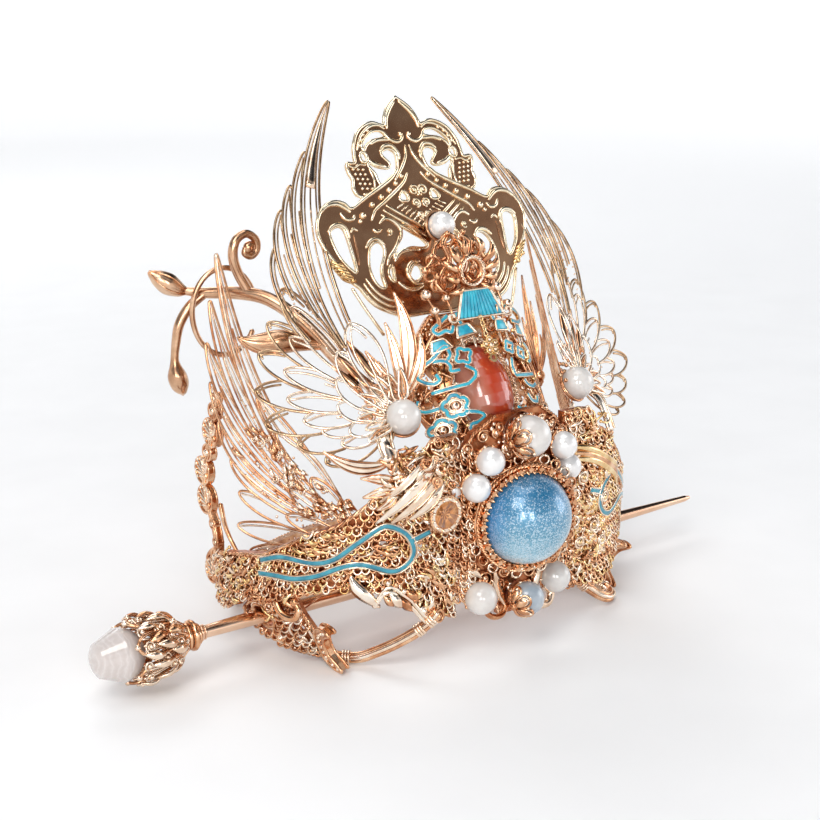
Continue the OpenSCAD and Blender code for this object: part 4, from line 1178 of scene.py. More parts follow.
# Raised lines by their radius
PLATE_LINES = [
    (0.34, [(0.6, 39.6), (2.6, 37.6), (3.9, 35.6), (4.3, 33.4)]),
    (0.34, [(5, 32.4), (4.4, 31.2), (3, 30.4), (1.6, 30.6), (0.8, 31.6), (1.4, 32.4)]),
    (0.26, [(5, 33.4), (6.4, 34.3), (8.4, 34.2), (10.4, 33.2), (12.2, 31.4), (13.4, 29)]),
    (0.32, [(9.6, 30.2), (7.4, 31), (4.2, 30.9)]),
    (0.32, [(7.6, 28.4), (6.4, 29.5), (4.4, 29.6), (3, 28), (2.9, 26.4)]),
    (0.4, [(11, 26.5), (9.2, 25.4), (7, 24.9)]),
    (0.34, [(18, 16.3), (14, 18.5), (9.6, 20.6), (6.2, 22.4), (4.4, 24.2)]),
    (0.34, [(14, 13.4), (12.6, 15.4), (9.6, 17.2), (6, 19.4), (3.4, 21.2), (1.8, 23.2)]),
    (0.3, [(0.5, 29.5), (1.2, 27), (3, 24.4), (5.4, 21.8)]),
    (0.34, [(26.2, 16), (24.4, 17.3), (22, 17.6), (20.2, 16.8), (18.9, 15.6)]),
    (0.34, [(21.4, 15.6), (20.4, 14.2), (18.8, 14), (18, 14.9)]),
    (0.34, [(25.5, 11.8), (24.2, 12.9), (22.4, 13.2), (21, 12.2), (20.6, 10)]),
    (0.34, [(17.2, 7.6), (15.6, 9), (13.8, 9.2), (12.2, 7.8)]),
    (0.34, [(12.2, 12.6), (10.6, 13.5), (8.6, 12.8), (7.2, 11), (7.5, 9)]),
    (0.34, [(14.2, 11.4), (13.2, 10.8), (12, 11.3)]),
    (0.28, [(7.9, 9.4), (9.6, 7), (11.8, 5), (12.8, 3.4)]),
    (0.34, [(10.6, 4), (9, 5.6), (6.4, 6.2), (3.4, 5.9)]),
    (0.34, [(4.2, 3.4), (6.4, 3.4), (7.9, 2), (7.8, 0.2), (6.6, -1.2), (4.8, -1.6)]),
    (0.34, [(11, -0.6), (9.2, -2.2), (7, -2.6), (4.8, -2)]),
    (0.3, [(19, 1), (17.2, -2), (14.6, -4), (11, -5)]),
    (0.3, [(19.8, 0), (18, -3), (15.2, -5.2), (11.4, -6.2)]),
    (0.3, [(20.4, -1.2), (18.6, -4), (15.8, -6.2), (11.6, -7.2)]),
    (0.24, [(18.2, 11.4), (19.2, 12), (20, 11.2)]),
    (0.2, [(19.4, 10.6), (19.6, 7), (19.8, 4)]),
    (0.3, [(10.4, 15.4), (5, 11.8), (0.4, 8.6)]),
    (0.3, [(11.2, 14.4), (5.8, 10.9), (1.4, 7.8)]),
    (0.3, [(9.4, 16.4), (4.2, 12.9), (0, 10)]),
]
# The line of this radius is in the sheet's own brown
HAIRLINE = 0.2
PLATE_DOTS = [
    (3.6, 22.6, 0.5), (5.6, 21.1, 0.5), (7.7, 19.7, 0.55), (10.2, 18.3, 0.6), (13, 16.8, 0.6), (16, 14.6, 0.7),
    (11, 32.4, 0.4), (11.8, 31.2, 0.4), (12.6, 30, 0.4), (1.1, 32, 0.5), (17, 13.4, 0.45), (9.6, 33.2, 0.35),
]
# Columns: x, y, radius, start and end of the turn
PLATE_CURLS = [(1.2, 19.2, 1.4, 40, 600), (1.4, 16.4, 1.1, 120, 620), (1.1, 13.6, 0.9, 200, 640),
               (10.2, 10.6, 0.8, 0, 300)]
# The basket's rim, the scroll over it, and the strut from the waist down. Columns: radius, height, steps, points
PLATE_WIRES = [
    (0.26, 0.35, 6, [(11.4, 24.6), (10.9, 22.6), (11.2, 20.6), (12.6, 19.4), (14.4, 19.2)]),
    (0.3, 0.35, 5, [(16.6, 25.8), (15.2, 25.2), (13.8, 25.8), (12.2, 25.6)]),
]
PLATE_STRUT = [(22.4, -0.6), (20.4, -5.2), (17.4, -11.2)]
PLATE_FRONT, PLATE_REAR = 0.35, -0.55


def sheet(p, loops, z0, z1, wall_slot):
    """A flat sheet closed all round: the first loop is its outline, the others its gaps."""
    pts = np.vstack(loops)
    n = len(pts)
    faces = []
    for a, b, c in tessellate_polygon([[Vector((x, y, 0)) for x, y in q] for q in loops]):
        (ux, uy), (vx, vy) = pts[b] - pts[a], pts[c] - pts[a]
        if ux * vy < uy * vx:
            b, c = c, b
        faces += [(a + n, b + n, c + n), (a, c, b)]
    p.add(place(p.frame, np.vstack([flat(pts, z0), flat(pts, z1)])), faces)
    for k, q in enumerate(loops):
        x, y = q.T
        left_turning = np.sum(x * np.roll(y, -1) - np.roll(x, -1) * y) > 0
        c = len(q)
        quads = []
        for i in range(c):
            j = (i + 1) % c
            outer = (i, j, c + j, c + i)
            quads.append(outer if left_turning == (k == 0) else (j, i, c + i, c + j))
        p.add(place(p.frame, np.vstack([flat(q, z0), flat(q, z1)])), quads, wall_slot)


def plate_ornament(p):
    """The raised work of one half of the plate."""
    front = PLATE_FRONT
    for r, pts in PLATE_LINES:
        line = smooth(pts, 7)
        swell = bulge(np.linspace(0, 1, len(line)), 0.65, 0.35, (0.96, 0.02), 0.5)
        p.tube(flat(line, front), 1.45 * r * swell, 0 if r == HAIRLINE else 1, 8)
    for x, y, r in PLATE_DOTS:
        p.bead((x, y, front), 1.15 * r, 1, 12, 7)
    for x, y, r, start, end in PLATE_CURLS:
        p.coil(x, y, front + 0.1, r, start, end - start, 28, 0.26, 1)
        p.bead((x, y, front + 0.1), 0.4, 1)
    # the basket's square grains
    for r in range(6):
        for c in range(3):
            x, y = 15.6 - c * 1.25 - r * 0.3, 24.8 - r * 1.08 - c * 0.1
            if y > 19.4:
                p.bead((x, y, front), 0.42, 1, 4, 4)
    for w, z, steps, pts in PLATE_WIRES:
        p.tube(flat(smooth(pts, steps), z), w, 1)
    # hatching beside the three lines
    for k in range(7):
        x, y = 6.6 - k * 0.95, 15.6 - k * 0.72
        p.tube(flat([(x, y), (x - 1.9, y + 0.9 + 0.12 * k)], front), 0.22, 1)
    # wire wraps round the plate's waist
    t = np.radians(around(12))[:, None]
    for k in range(5):
        middle = (25.0 - 0.5 * k, 4.6 - 0.8 * k, -0.1)
        p.ring(middle + np.cos(t) * (1.5, 0.8, 0) + np.sin(t) * (0, 0, 0.95), 0.34, 2)
    for x, y in ((24.4, 2.4), (22.6, 0.8)):
        p.bead((x, y, 0.8), 0.6, 2)
    p.tube(flat(smooth(PLATE_STRUT), -0.4), 0.4, 1)


def back_plate():
    p = Piece("back_plate_pierced", BACK)
    half = smooth(PLATE_EDGE, 4)
    loops = [np.vstack([half, (half * (-1, 1))[::-1][1:-1]])]
    for g in PLATE_GAPS:
        q = smooth(g, 4, True)
        loops += [q, (q * (-1, 1))[::-1]]
    sheet(p, loops, PLATE_REAR, PLATE_FRONT, 2)
    for k, loop in enumerate(loops):
        p.ring(flat(loop, PLATE_FRONT - 0.05), 0.36 if k else 0.40, 1)
    for frame_here in (BACK, BACK @ MIRROR):
        p.frame = frame_here
        plate_ornament(p)
    return p


back_plate().build([plate_gold, rim_gold, gold], "yellow_gold", ["back_plate"])


# Pavilion screen: enamelled strips with gold edges on a curved surface, before the oval

SCREEN_R = 22.0


def screen_at(x, v, out=0.0):
    a = math.asin(max(-1, min(1, x / SCREEN_R)))
    r = SCREEN_R + out
    return (r * math.sin(a), v, r * math.cos(a) - SCREEN_R)


def screen_line(points, out=0.0):
    return np.array([screen_at(x, v, out) for x, v in points])


def screen_normals(points):
    a = np.arcsin(np.clip(points[:, 0] / SCREEN_R, -1, 1))
    return np.column_stack([np.sin(a), np.zeros(len(a)), np.cos(a)])


def cloisonne(gilt, fill, line, half=0.5, closed=False, at=screen_line, normals=screen_normals, height=0.7):
    """An enamelled strip: a gilt wire edge and the enamel between."""
    up = normals(line)
    gilt.strip(at(line), half, height, up, 0, closed)
    fill.strip(at(line, height / 2 - 0.02), half * 0.62, 0.16, up, 0, closed, 0.05)
    q = np.vstack([line, line[:1]]) if closed else line
    for s in (1, -1):
        gilt.tube(at(offset_line(q, s * half * 0.84), height / 2 + 0.02), half * 0.19, 1, 5)


# Strokes by the steps of their curve; those with 0 are straight
SCREEN_STROKES = [
    (5, [(-7.4, 16.6), (-9.4, 15.4), (-10.9, 14.4), (-10.2, 13.2), (-8.7, 13.5), (-7.6, 13.0), (-6.9, 14.2)]),
    (5, [(5.6, 16.4), (8.6, 16.9), (11.6, 16.4), (14.0, 15.3), (13.6, 14.0), (11.8, 13.4), (9.4, 13.6)]),
    (0, [(-14.3, 1.6), (-7.4, 1.5)]),
    (5, [(-7.4, 1.5), (-5.7, 2.6), (-5.3, 3.8), (-6.4, 4.9), (-7.0, 5.4)]),
    (5, [(-14.6, 4.0), (-15.6, 5.6), (-14.4, 7.4), (-12.6, 8.4), (-11.0, 9.6), (-9.6, 10.2), (-9.2, 8.4),
         (-10.2, 7.2)]),
    (5, [(-12.6, 7.9), (-10.6, 7.4), (-9.8, 6.2), (-9.9, 5.0), (-8.2, 4.8)]),
    (5, [(-14.6, 4.0), (-13.4, 3.4), (-12.4, 3.9), (-12.7, 5.2)]),
    (5, [(-16.5, 1.0), (-16.9, -0.4), (-15.9, -1.7), (-13.6, -1.9)]),
    (5, [(-9.6, -3.9), (-7.3, -4.7), (-6.2, -5.8), (-7.6, -6.7), (-9.2, -6.9), (-9.4, -8.0), (-7.4, -8.5),
         (-5.6, -8.2), (-3.9, -8.6)]),
    (0, [(4.9, 5.2), (4.3, 3.2), (4.6, 1.3)]),
    (0, [(4.6, 1.3), (8.0, 1.2), (11.4, 1.4)]),
    (5, [(7.0, 0.2), (7.6, -0.8), (9.4, -1.4), (11.2, -0.8)]),
    (5, [(6.6, -3.0), (7.4, -4.5), (9.2, -4.8), (10.0, -3.6)]),
    (5, [(2.2, -5.4), (3.4, -6.2), (4.8, -5.8)]),
    (5, [(11.6, 8.4), (12.8, 7.0), (12.6, 5.0), (11.2, 4.2)]),
    (0, [(-5.6, 16.8), (-5.2, 14.2)]),
    (0, [(2.6, 16.8), (3.2, 14.0)]),
]
SMALL_ROOFS = [
    [(-6.9, 11.4), (-2.4, 11.8), (-3.6, 14.1), (-6.2, 14.0)],
    [(-12.5, 9.5), (-8.2, 9.8), (-9.4, 12.1), (-12.0, 12.0)],
    [(3.0, 11.6), (7.1, 11.4), (6.3, 13.9), (3.6, 14.0)],
    [(9.6, 10.6), (13.0, 10.2), (12.2, 12.8), (10.2, 13.0)],
]
# Columns: x, y, radius
FLOWERS = [(-11.0, -2.3, 1.15), (-14.2, -6.5, 1.1)]
QUATREFOILS = [(-6.7, 7.5, 1.5), (5.3, 7.7, 1.15), (8.8, 6.2, 1.1)]
# Cross wires of the screen's net: height, and where they start
NET_WIRES = [(-7.6, 8.6), (-4.8, 9.6), (-1.8, 10.2), (1.4, 10.2), (4.6, 9.8), (7.8, 9.2), (10.8, 7.6),
             (13.6, 5.4)]
SCREEN_HALF = [(-8.6, 11.6), (-2, 16), (3, 16.2), (8, 15), (11.6, 12.4), (14.2, 10.2)]
# The net's border. Columns: radius, how far out, points
NET_BORDER = [
    (0.42, -0.4, [(12, -8.6), (15, -6), (16.8, -2), (16.8, 3), (15.4, 8), (12.6, 11.6), (10.4, 14.2)]),
    (0.34, -0.6, [(12, -8.6), (8.4, -8.8), (4.4, -9.6)]),
    (0.34, -0.6, [(10.4, 14.2), (6, 15.4), (1, 16)]),
]


def petal_line(x, v, r, count, start):
    """A closed line round a place, with its radius for each angle."""
    a = np.radians(around(count))
    return np.column_stack([x + r(a) * np.cos(a + start), v + r(a) * np.sin(a + start)])


def small_roof(gilt, fill, poly):
    gilt.slab(poly, -0.3, 0.3, 1, screen_at)
    c = np.mean(poly, axis=0)
    fill.slab(c + (np.asarray(poly) - c) * 0.8, 0.2, 0.42, 0, screen_at)
    gilt.tube(screen_line(closed_line(poly, 0.4), 0.32), 0.2, 1)
    # posts below the roof
    foot = poly[0][1]
    for x in (poly[0][0] + 0.9, poly[1][0] - 0.9):
        gilt.tube(screen_line(dense([(x, foot), (x + 0.1, foot - 2.6)], 0.5), -0.1), 0.26, 1)


def screen_net(gilt):
    """An open gilt net behind the strokes, which holds them together."""
    for s in (-1, 1):
        for v, x0 in NET_WIRES:
            span = table_at(SCREEN_HALF, v) - x0
            line = [(s * (x0 + span * t), v + 0.8 * math.sin(t * 9 + v)) for t in np.linspace(0, 1, 12)]
            gilt.tube(screen_line(line, -0.55), 0.24, 2, 5)
            gilt.bead(screen_at(*line[4], -0.3), 0.5)
        for k in range(3):
            heights = np.linspace(-7 + k * 0.8, 10.5 - k * 2.6, 16)
            line = [(s * (10.2 + 2.3 * k + 0.5 * math.sin(v)), v) for v in heights]
            gilt.tube(screen_line(line, -0.6), 0.22, 2, 5)
        for w, out, pts in NET_BORDER:
            gilt.tube(screen_line(smooth(np.array(pts) * (s, 1), 5), out), w, 2)


def pavilion():
    gilt, fill = Piece("pavilion_gilt", LEANING), Piece("pavilion_enamel", LEANING)
    for steps, pts in SCREEN_STROKES:
        cloisonne(gilt, fill, smooth(pts, steps) if steps else dense(pts, 0.5))
    for poly in SMALL_ROOFS:
        small_roof(gilt, fill, poly)
    for x, v, r in QUATREFOILS:
        cloisonne(gilt, fill, petal_line(x, v, lambda a: r * (1 + 0.2 * np.cos(4 * a)), 36, 0.4), closed=True)
    for x, v, r in FLOWERS:
        petals = petal_line(x, v, lambda a: r * (1.42 + 0.62 * np.abs(np.cos(2.5 * a)) ** 0.7), 60, 0.3)
        cloisonne(gilt, fill, petals, 0.5 * r, True)
        for rad, w, out in ((1.02, 0.26, 0.5), (1.3, 0.2, 0.35)):
            gilt.ring(screen_line(circle_line(rad * r, 0, 20, (x, v))[:, :2], out), w, 1)
        gilt.bead(screen_at(x, v, 0.3), 0.9 * r, 1, 14, 8, (1, 1, 0.7))
    screen_net(gilt)
    return gilt, fill


gilt, fill = pavilion()
gilt.build([gold, pale, rose], "pale_gold", ["pavilion_screen"])
fill.build([teal], "enamel")


# The grooved roof above the screen

ROOF = shift(0, -19.2, 73.4) @ turn("x", 70)
# Half widths and heights of its two ends
ROOF_TOP, ROOF_TOP_Y = 3.7, 2.5
ROOF_FOOT, ROOF_FOOT_Y = 6.1, -3.4
ROOF_TILES = 11
EAVE = [(6.1, -3.4), (7.2, -3.8), (8.2, -3.4), (8.3, -2.4), (7.4, -2.1), (7.0, -2.8)]


def roof_outline(inset_foot=0.0, inset_top=0.0, inset_y=0.0):
    foot, top = ROOF_FOOT - inset_foot, ROOF_TOP - inset_top
    low, high = ROOF_FOOT_Y + inset_y, ROOF_TOP_Y - inset_y
    return [(-foot, low), (foot, low), (top, high), (-top, high)]


def roof():
    gilt, fill = Piece("roof_gilt", ROOF), Piece("roof_enamel", ROOF)
    corners = roof_outline()
    gilt.slab(corners, -0.7, -0.1)
    fill.slab(roof_outline(0.4, 0.3, 0.2), -0.3, 0.05)
    for k in range(ROOF_TILES):
        side = 2 * (k + 0.5) / ROOF_TILES - 1
        low = (side * (ROOF_FOOT - 0.3), ROOF_FOOT_Y + 0.15, 0.1)
        high = (side * (ROOF_TOP - 0.2), ROOF_TOP_Y - 0.1, 0.05)
        fill.tube(np.linspace(low, high, 6), np.linspace(0.42, 0.26, 6), 0, 8)
    eaves = [(-ROOF_FOOT - 0.4, ROOF_FOOT_Y), (ROOF_FOOT + 0.4, ROOF_FOOT_Y)]
    for ends in ((corners[0], corners[3]), (corners[1], corners[2]), eaves, (corners[3], corners[2])):
        gilt.tube(flat(dense(ends, 0.6), 0.12), 0.3)
    # curled eaves
    for s in (-1, 1):
        gilt.tube(flat(smooth(np.array(EAVE) * (s, 1)), 0.1), 0.3)
    return gilt, fill


gilt, fill = roof()
gilt.build([pale], "pale_gold")
fill.build([teal], "enamel", ["roof_tiles"])


# Enamelled loops on the side nets


def enamel_loop():
    gilt, fill = Piece("enamel_loop_right_gilt"), Piece("enamel_loop_right_enamel")
    for line in (smooth(LOOP, 5), dense(LOOP_STEM, 0.6)):
        cloisonne(gilt, fill, line, 0.68, at=loop_at, normals=loop_normals, height=0.8)
    return gilt, fill


gilt, fill = enamel_loop()
gilt.build([pale, pale], "pale_gold")
fill.build([loop_teal, pale], "enamel", ["enamel_loop_right"])
gilt.mirrored("enamel_loop_left_gilt").build([pale, pale], "pale_gold")
fill.mirrored("enamel_loop_left_enamel").build([loop_teal, pale], "enamel", ["enamel_loop_left"])


# What most of the trims below are made of
TRIM = [rose, pale]


def near(surface, x, z, out, side=1):
    """The surface round a place, for a curl; side is -1 for its mirror image."""
    def at(u, v):
        return surface(side * (x + u), z + v, out)
    return at


def between(x0, z0, x1, z1, n=10):
    """Even steps from one place to another: shares of the way, and their columns."""
    t = np.linspace(0, 1, n)
    return t, x0 + (x1 - x0) * t, z0 + (z1 - z0) * t


# Blue stone's bezel

AT_BLUE = shift(-0.2, -36.4, 30) @ turn("z", -12) @ turn("x", 90)
BEZEL_TEETH, WREATH_LOOPS = 46, 26
# Columns: radius, height, half width
TOOTH = [(10.9, 0.9, 0.5), (10.6, 1.5, 0.52), (10.3, 1.95, 0.4), (10.0, 2.3, 0.1)]


def bezel_trim():
    p = Piece("bezel_trim", AT_BLUE)
    for k, angle in enumerate(around(BEZEL_TEETH)):
        c, s = turned(1, angle)
        p.leaf([(r * c, r * s, z) for r, z, _ in TOOTH], [w for *_, w in TOOTH], 0, 0.34, 0.15, (c, s, 0.6))
        p.grain((*turned(10.95, angle + 180 / BEZEL_TEETH), 1.5), 0.36, k % 2)
    p.rope(circle_line(11.5, 0.7), UP, 0.28, 0.3, 1.9, closed=True)
    p.ring(circle_line(11.45, -0.5), 0.5, 0, 8)
    # an open wreath of loops round the bezel
    p.frame = IDENTITY
    t = np.radians(around(12))
    loop = flat(np.column_stack([np.sin(t), 1.15 * np.cos(t)]))
    for k, angle in enumerate(around(WREATH_LOOPS)):
        m = AT_BLUE @ turn("z", angle) @ shift(12.7, 0, -0.7)
        p.ring(place(m, loop), 0.26, k % 2)
        if k % 2:
            p.grain(place(m, (0.9, 0, 0)), 0.42, 1)
    return p


bezel_trim().build(TRIM, "rose_gold")


# Filigree on the front plate and on the frame behind the oval

# Height and half width of the front plate
FRONT_EDGE = [(8, 4.4), (13, 5.8), (19, 13.1), (24, 13.8), (44, 13.8), (49, 11.3), (52.3, 6.4)]
# Columns: x, height, radius, start of the turn
FRONT_CURLS = [(8.6, 17.2, 1.7, 40), (12.2, 21.6, 1.6, 160), (12.9, 26.2, 1.3, 250), (5.2, 15.2, 1.4, 10),
               (3.4, 18, 1.1, 200), (12.9, 46.2, 1.2, 30), (9.4, 48.4, 1.5, 300), (5.8, 50, 1.2, 120),
               (12.8, 32, 1.1, 80)]
# Leaves between the lower beads. Columns: both ends, half width
FRONT_LEAVES = [(3.4, 9.6, 7.2, 16.8, 1.1), (5.4, 11.6, 6.4, 19, 1.0), (13.2, 19.4, 9.4, 17.4, 1.0)]
# Polished scrolls under the beads at the foot: side, slot, radius at the end, radius of the bead there, points
FOOT_SCROLLS = [
    (1, 1, 1.15, 1.2, [(2.6, 10.6, 1.2), (4.4, 8.8, 2.4), (7.4, 8.4, 2.6), (9.0, 10.2, 2.0), (8.0, 12.0, 1.4)]),
    (-1, 0, 0.7, 0.8, [(3.0, 10.2, 0.8), (5.2, 8.6, 1.8), (8.0, 9.0, 2.2), (9.6, 11.0, 1.6)]),
]


def front_filigree():
    p = Piece("front_filigree")
    rnd = random.Random(31)
    for s in (-1, 1):
        line = dense([(s * w, z) for z, w in FRONT_EDGE], 0.5)
        p.rope([on_front(x, z, 0.25) for x, z in line], (0, -1, 0), 0.22, 0.26, 1.9)
        for x, z, r, start in FRONT_CURLS:
            p.curl(near(on_front, x, z, 0.75, s), r, start, grain=0.46)
        for *ends, w in FRONT_LEAVES:
            t, x, z = between(*ends)
            line = [on_front(*q, 0.9) for q in zip(s * x, z + 0.8 * np.sin(math.pi * t))]
            p.leaf(line, bulge(t, w, span=(0.94, 0.04)), 1, crown=0.35, up=(0, -1, 0))
    for s, slot, r, end, rows in FOOT_SCROLLS:
        line = smooth([on_front(s * x, z, out) for x, z, out in rows], 7)
        p.tube(line, np.linspace(0.55, r, len(line)), slot, 12)
        p.bead(line[-1], end, slot, 14, 9)
    for k in range(16):
        x, z, r = rnd.uniform(-12, 12), rnd.uniform(42, 51), rnd.uniform(0.9, 1.6)
        if abs(x) < table_at(FRONT_EDGE, z) - 1.5:
            p.curl(near(on_front, x, z, 0.75), r, 40 * k, 0.28, k % 2, 0.6)
    for _ in range(160):
        x, z = rnd.uniform(-13, 13), rnd.uniform(12, 51)
        if abs(x) < table_at(FRONT_EDGE, z) - 0.9 and math.hypot(x, z - 30) > 12.2:
            p.grain(on_front(x, z, 0.5), rnd.uniform(0.35, 0.6), rnd.choice((0, 1)))
    return p


FRAME_FRONT = -8.6
# Height and half width of the frame
FRAME_EDGE = [(-10.3, 8.8), (-6, 13.8), (0, 16.3), (6, 16.3), (12, 13.8), (16, 9.8), (19, 6.3)]
# Columns: x, y, radius, start of the turn, how far out
FRAME_CURLS = [(10.2, -6.6, 1.9, 20, 1.4), (12.6, -2.6, 1.6, 130, 1.2), (9.2, -9.4, 1.3, 240, 1.8),
               (14.2, 2.0, 1.4, 60, 0.8), (13.8, 7.0, 1.4, 300, 0.8), (11.6, 11.0, 1.3, 200, 0.8),
               (8.4, 14.6, 1.3, 90, 0.8), (6.4, -11.2, 1.3, 140, 2.4), (4.2, 17.4, 1.2, 20, 0.8)]
# Rods between the frame and the screen, and the leaves at their feet
RODS = [(9.6, -8.4), (13.6, -5), (15.4, 1), (14.6, 6), (12, 10.4), (8.6, 13.6)]
FRAME_LEAVES = [(9, -11.6, 14.6, -8.4, 1.2), (12.4, -9.6, 16.2, -4.6, 1.1), (7.4, -12.4, 11.6, -11.4, 1.0)]


def frame_filigree():
    p = Piece("frame_filigree", LEANING)
    rnd = random.Random(33)
    front = FRAME_FRONT
    for s in (-1, 1):
        p.rope(flat(dense([(s * w, v) for v, w in FRAME_EDGE], 0.5), front), UP, 0.25, 0.28, 2.0)
        p.grain_row(flat(dense([(s * (w - 1.1), v) for v, w in FRAME_EDGE], 0.5), front + 0.1), 0.42, 3.2)
        for x, v, r, start, lift in FRAME_CURLS:
            p.coil(s * x, v, front + lift, r, start if s > 0 else 180 - start, s * 600, 28, 0.28, r0=0.35)
            p.tube([(s * x, v, front), (s * x, v, front + lift)], 0.3)
            p.bead((s * x, v, front + lift + 0.1), 0.62, 1)
        for x, v in RODS:
            tip = screen_at(s * x, v, -0.6)
            p.tube([(*tip[:2], front), tip], 0.34)
        for *ends, w in FRAME_LEAVES:
            t, x, v = between(*ends, 12)
            rise = np.sin(math.pi * t)
            p.leaf(np.column_stack([s * x, v + rise, front + 1.5 + 1.2 * rise]), bulge(t, w), 1)
    for _ in range(30):
        x, v = rnd.uniform(-15, 15), rnd.uniform(-11, -6)
        start, r = rnd.uniform(0, 360), rnd.uniform(0.9, 1.7)
        if abs(x) < table_at(FRAME_EDGE, v) - 1.2:
            p.coil(x, v, front + 0.5, r, start, CURL_SWEEP, 22, 0.26)
            p.bead((x, v, front + 0.5), 0.6, 1)
    for _ in range(240):
        x, v = rnd.uniform(-15, 15), rnd.uniform(-11, 18)
        if abs(x) < table_at(FRAME_EDGE, v) - 1.2 and (x / 8.6) ** 2 + ((v - 0.6) / 12) ** 2 > 1:
            p.grain((x, v, front + 0.2), rnd.uniform(0.35, 0.7), rnd.choice((0, 1)))
    # rim of the oval
    p.rope(circle_line(8.1, -5.75, 60, (0, 0.6), 11.6), UP, 0.26, 0.28, 1.9, 1, closed=True)
    for angle in around(30):
        c, s = turned(1, angle)
        line = [((7.9 - d) * c, 0.6 + (11.4 - d) * s, z) for d, z in ((0, -6.3), (0.25, -5.3), (0.9, -4.9))]
        p.leaf(line, [0.5, 0.45, 0.12], 1, 0.3, 0.1, (c, s, 0.7))
    return p


front_filigree().build(TRIM, "rose_gold")
frame_filigree().build(TRIM, "rose_gold")


# Crest before the back plate: petals round the ring, and gold balls on stalks

CREST = shift(0, -16.6, 79.5) @ turn("x", 84)
CREST_HIGH = shift(0, -11.1, 81) @ turn("x", 78)
# Root, bend, tip, half width, slot
CREST_PETALS = [
    ((1.8, 2.8), (2.8, 5.4), (1.4, 7.0), 0.8, 0), ((2.8, 1.4), (5.4, 3.4), (5.6, 5.6), 0.9, 2),
    ((3.2, 0), (6.0, 0.8), (7.2, 2.6), 0.8, 0), ((3.0, -1.4), (5.4, -2.0), (6.6, -0.8), 0.8, 2),
    ((2.2, -2.8), (4.2, -4.4), (6.0, -4.2), 0.8, 0),
]
# Columns: across, up, radius, tilt in degrees
CREST_LOOPS = [(3.9, 1.8, 1.5, 25), (4.6, -1.8, 1.6, 40), (2.8, -4.6, 1.5, 15), (6.2, 0.4, 1.3, 50),
               (1.7, 4.6, 1.2, 31), (5.6, -4.8, 1.4, 22), (7.4, -2.8, 1.2, 35)]
CREST_STRIPS = [
    [(1.6, 5.4, 0.6), (3.6, 3.6, 1.4), (2.8, 0.4, 1.8), (5.0, -2.6, 1.4), (6.4, -5.4, 1.8)],
    [(2.4, 4.6, 0.2), (5.4, 3.2, 1.0), (6.6, 0.6, 1.2), (8.6, -1.4, 0.8)],
    [(1.4, -3.4, 1.8), (3.2, -6.0, 3.0), (6.0, -6.6, 3.6), (7.6, -4.6, 3.0), (7.0, -3.0, 2.6)],
]
PEARL_STEM = [(0, -15.8, 82.4), (0, -13.2, 84.6), (0, -10.6, 86)]
# Columns: across, up, radius
BALLS = [(-11.1, 21.7, 1.15), (-10.1, 18.0, 1.0), (6.9, 21.1, 1.15), (9.2, 17.3, 1.05), (-7.0, 20.2, 0.8),
         (4.6, 18.6, 0.7)]


def crest():
    p = Piece("crest_petals", CREST)
    p.rope(circle_line(3.0, 0.95, 40), UP, 0.2, 0.24, 1.6, 1, closed=True)
    t = np.linspace(0, 1, 16)
    for s in (-1, 1):
        p.frame = CREST
        for *ends, w, slot in CREST_PETALS:
            line = bend(*(np.array(q) * (s, 1) for q in ends), 16)
            line = np.column_stack([line, 0.3 + 1.3 * np.sin(math.pi * t)])
            p.leaf(line, bulge(t, w, power=0.8), slot, 0.4)
        # loops, balls and bent strips that climb towards the pearl
        for x, y, r, tilt in CREST_LOOPS:
            p.frame = CREST_HIGH @ shift(s * x, y, 0.8) @ turn("y", s * tilt) @ turn("x", tilt * 0.7)
            p.ring(circle_line(r, 0, 20), 0.42, 2 if tilt % 2 else 0, 8)
            p.bead((0, r + 0.2, 0.3), 0.6, 2)
        p.frame = CREST_HIGH
        for pts in CREST_STRIPS:
            line = smooth(np.array(pts) * (s, 1, 1), 7)
            p.tube(line, np.linspace(0.62, 0.4, len(line)), 0 if len(pts) % 2 else 2, 8)
            p.bead(line[-1], 0.85, 2, 12, 8)
    for r, w, slot in ((1.0, 0.62, 1), (1.32, 0.3, 2)):
        p.ring(circle_line(2.0 * r, 1.2, 30, ry=2.9 * r), w, slot, 10)
    p.frame = IDENTITY
    p.tube(PEARL_STEM, 0.7, 0, 10)
    p.frame = LEANING
    for x, v, r in BALLS:
        foot = screen_at(np.sign(x) * min(abs(x), 9.6), 13.9, -0.4)
        top = np.array([x, v, foot[2] + 1.2])
        p.tube(smooth([foot, (foot + top) / 2 + (0, 0, 0.9), top], 8), 0.28)
        p.bead(top, r, 1, 14, 8)
        p.rope(circle_line(r * 0.9, top[2] - 0.35, 16, (x, v)), UP, 0.12, 0.16, 1.2, closed=True)
    # three petals of the charm's stem over the roof
    for s in (-1, 0, 1):
        line = smooth([(s * 0.6, 16.4, -1.5), (s * 1.4, 18.2, -0.6), (s * 2.6, 19.4, -1.0)], 5)
        p.leaf(line, bulge(np.linspace(0, 1, len(line)), 0.8, 0.05), 1, 0.3)
    return p


crest().build([rose, pale, rose], "rose_gold")


# Charm: a blossom's grains, and a chain that hangs from the roof

CHARM_X, CHARM_Y = -0.5, 8.3


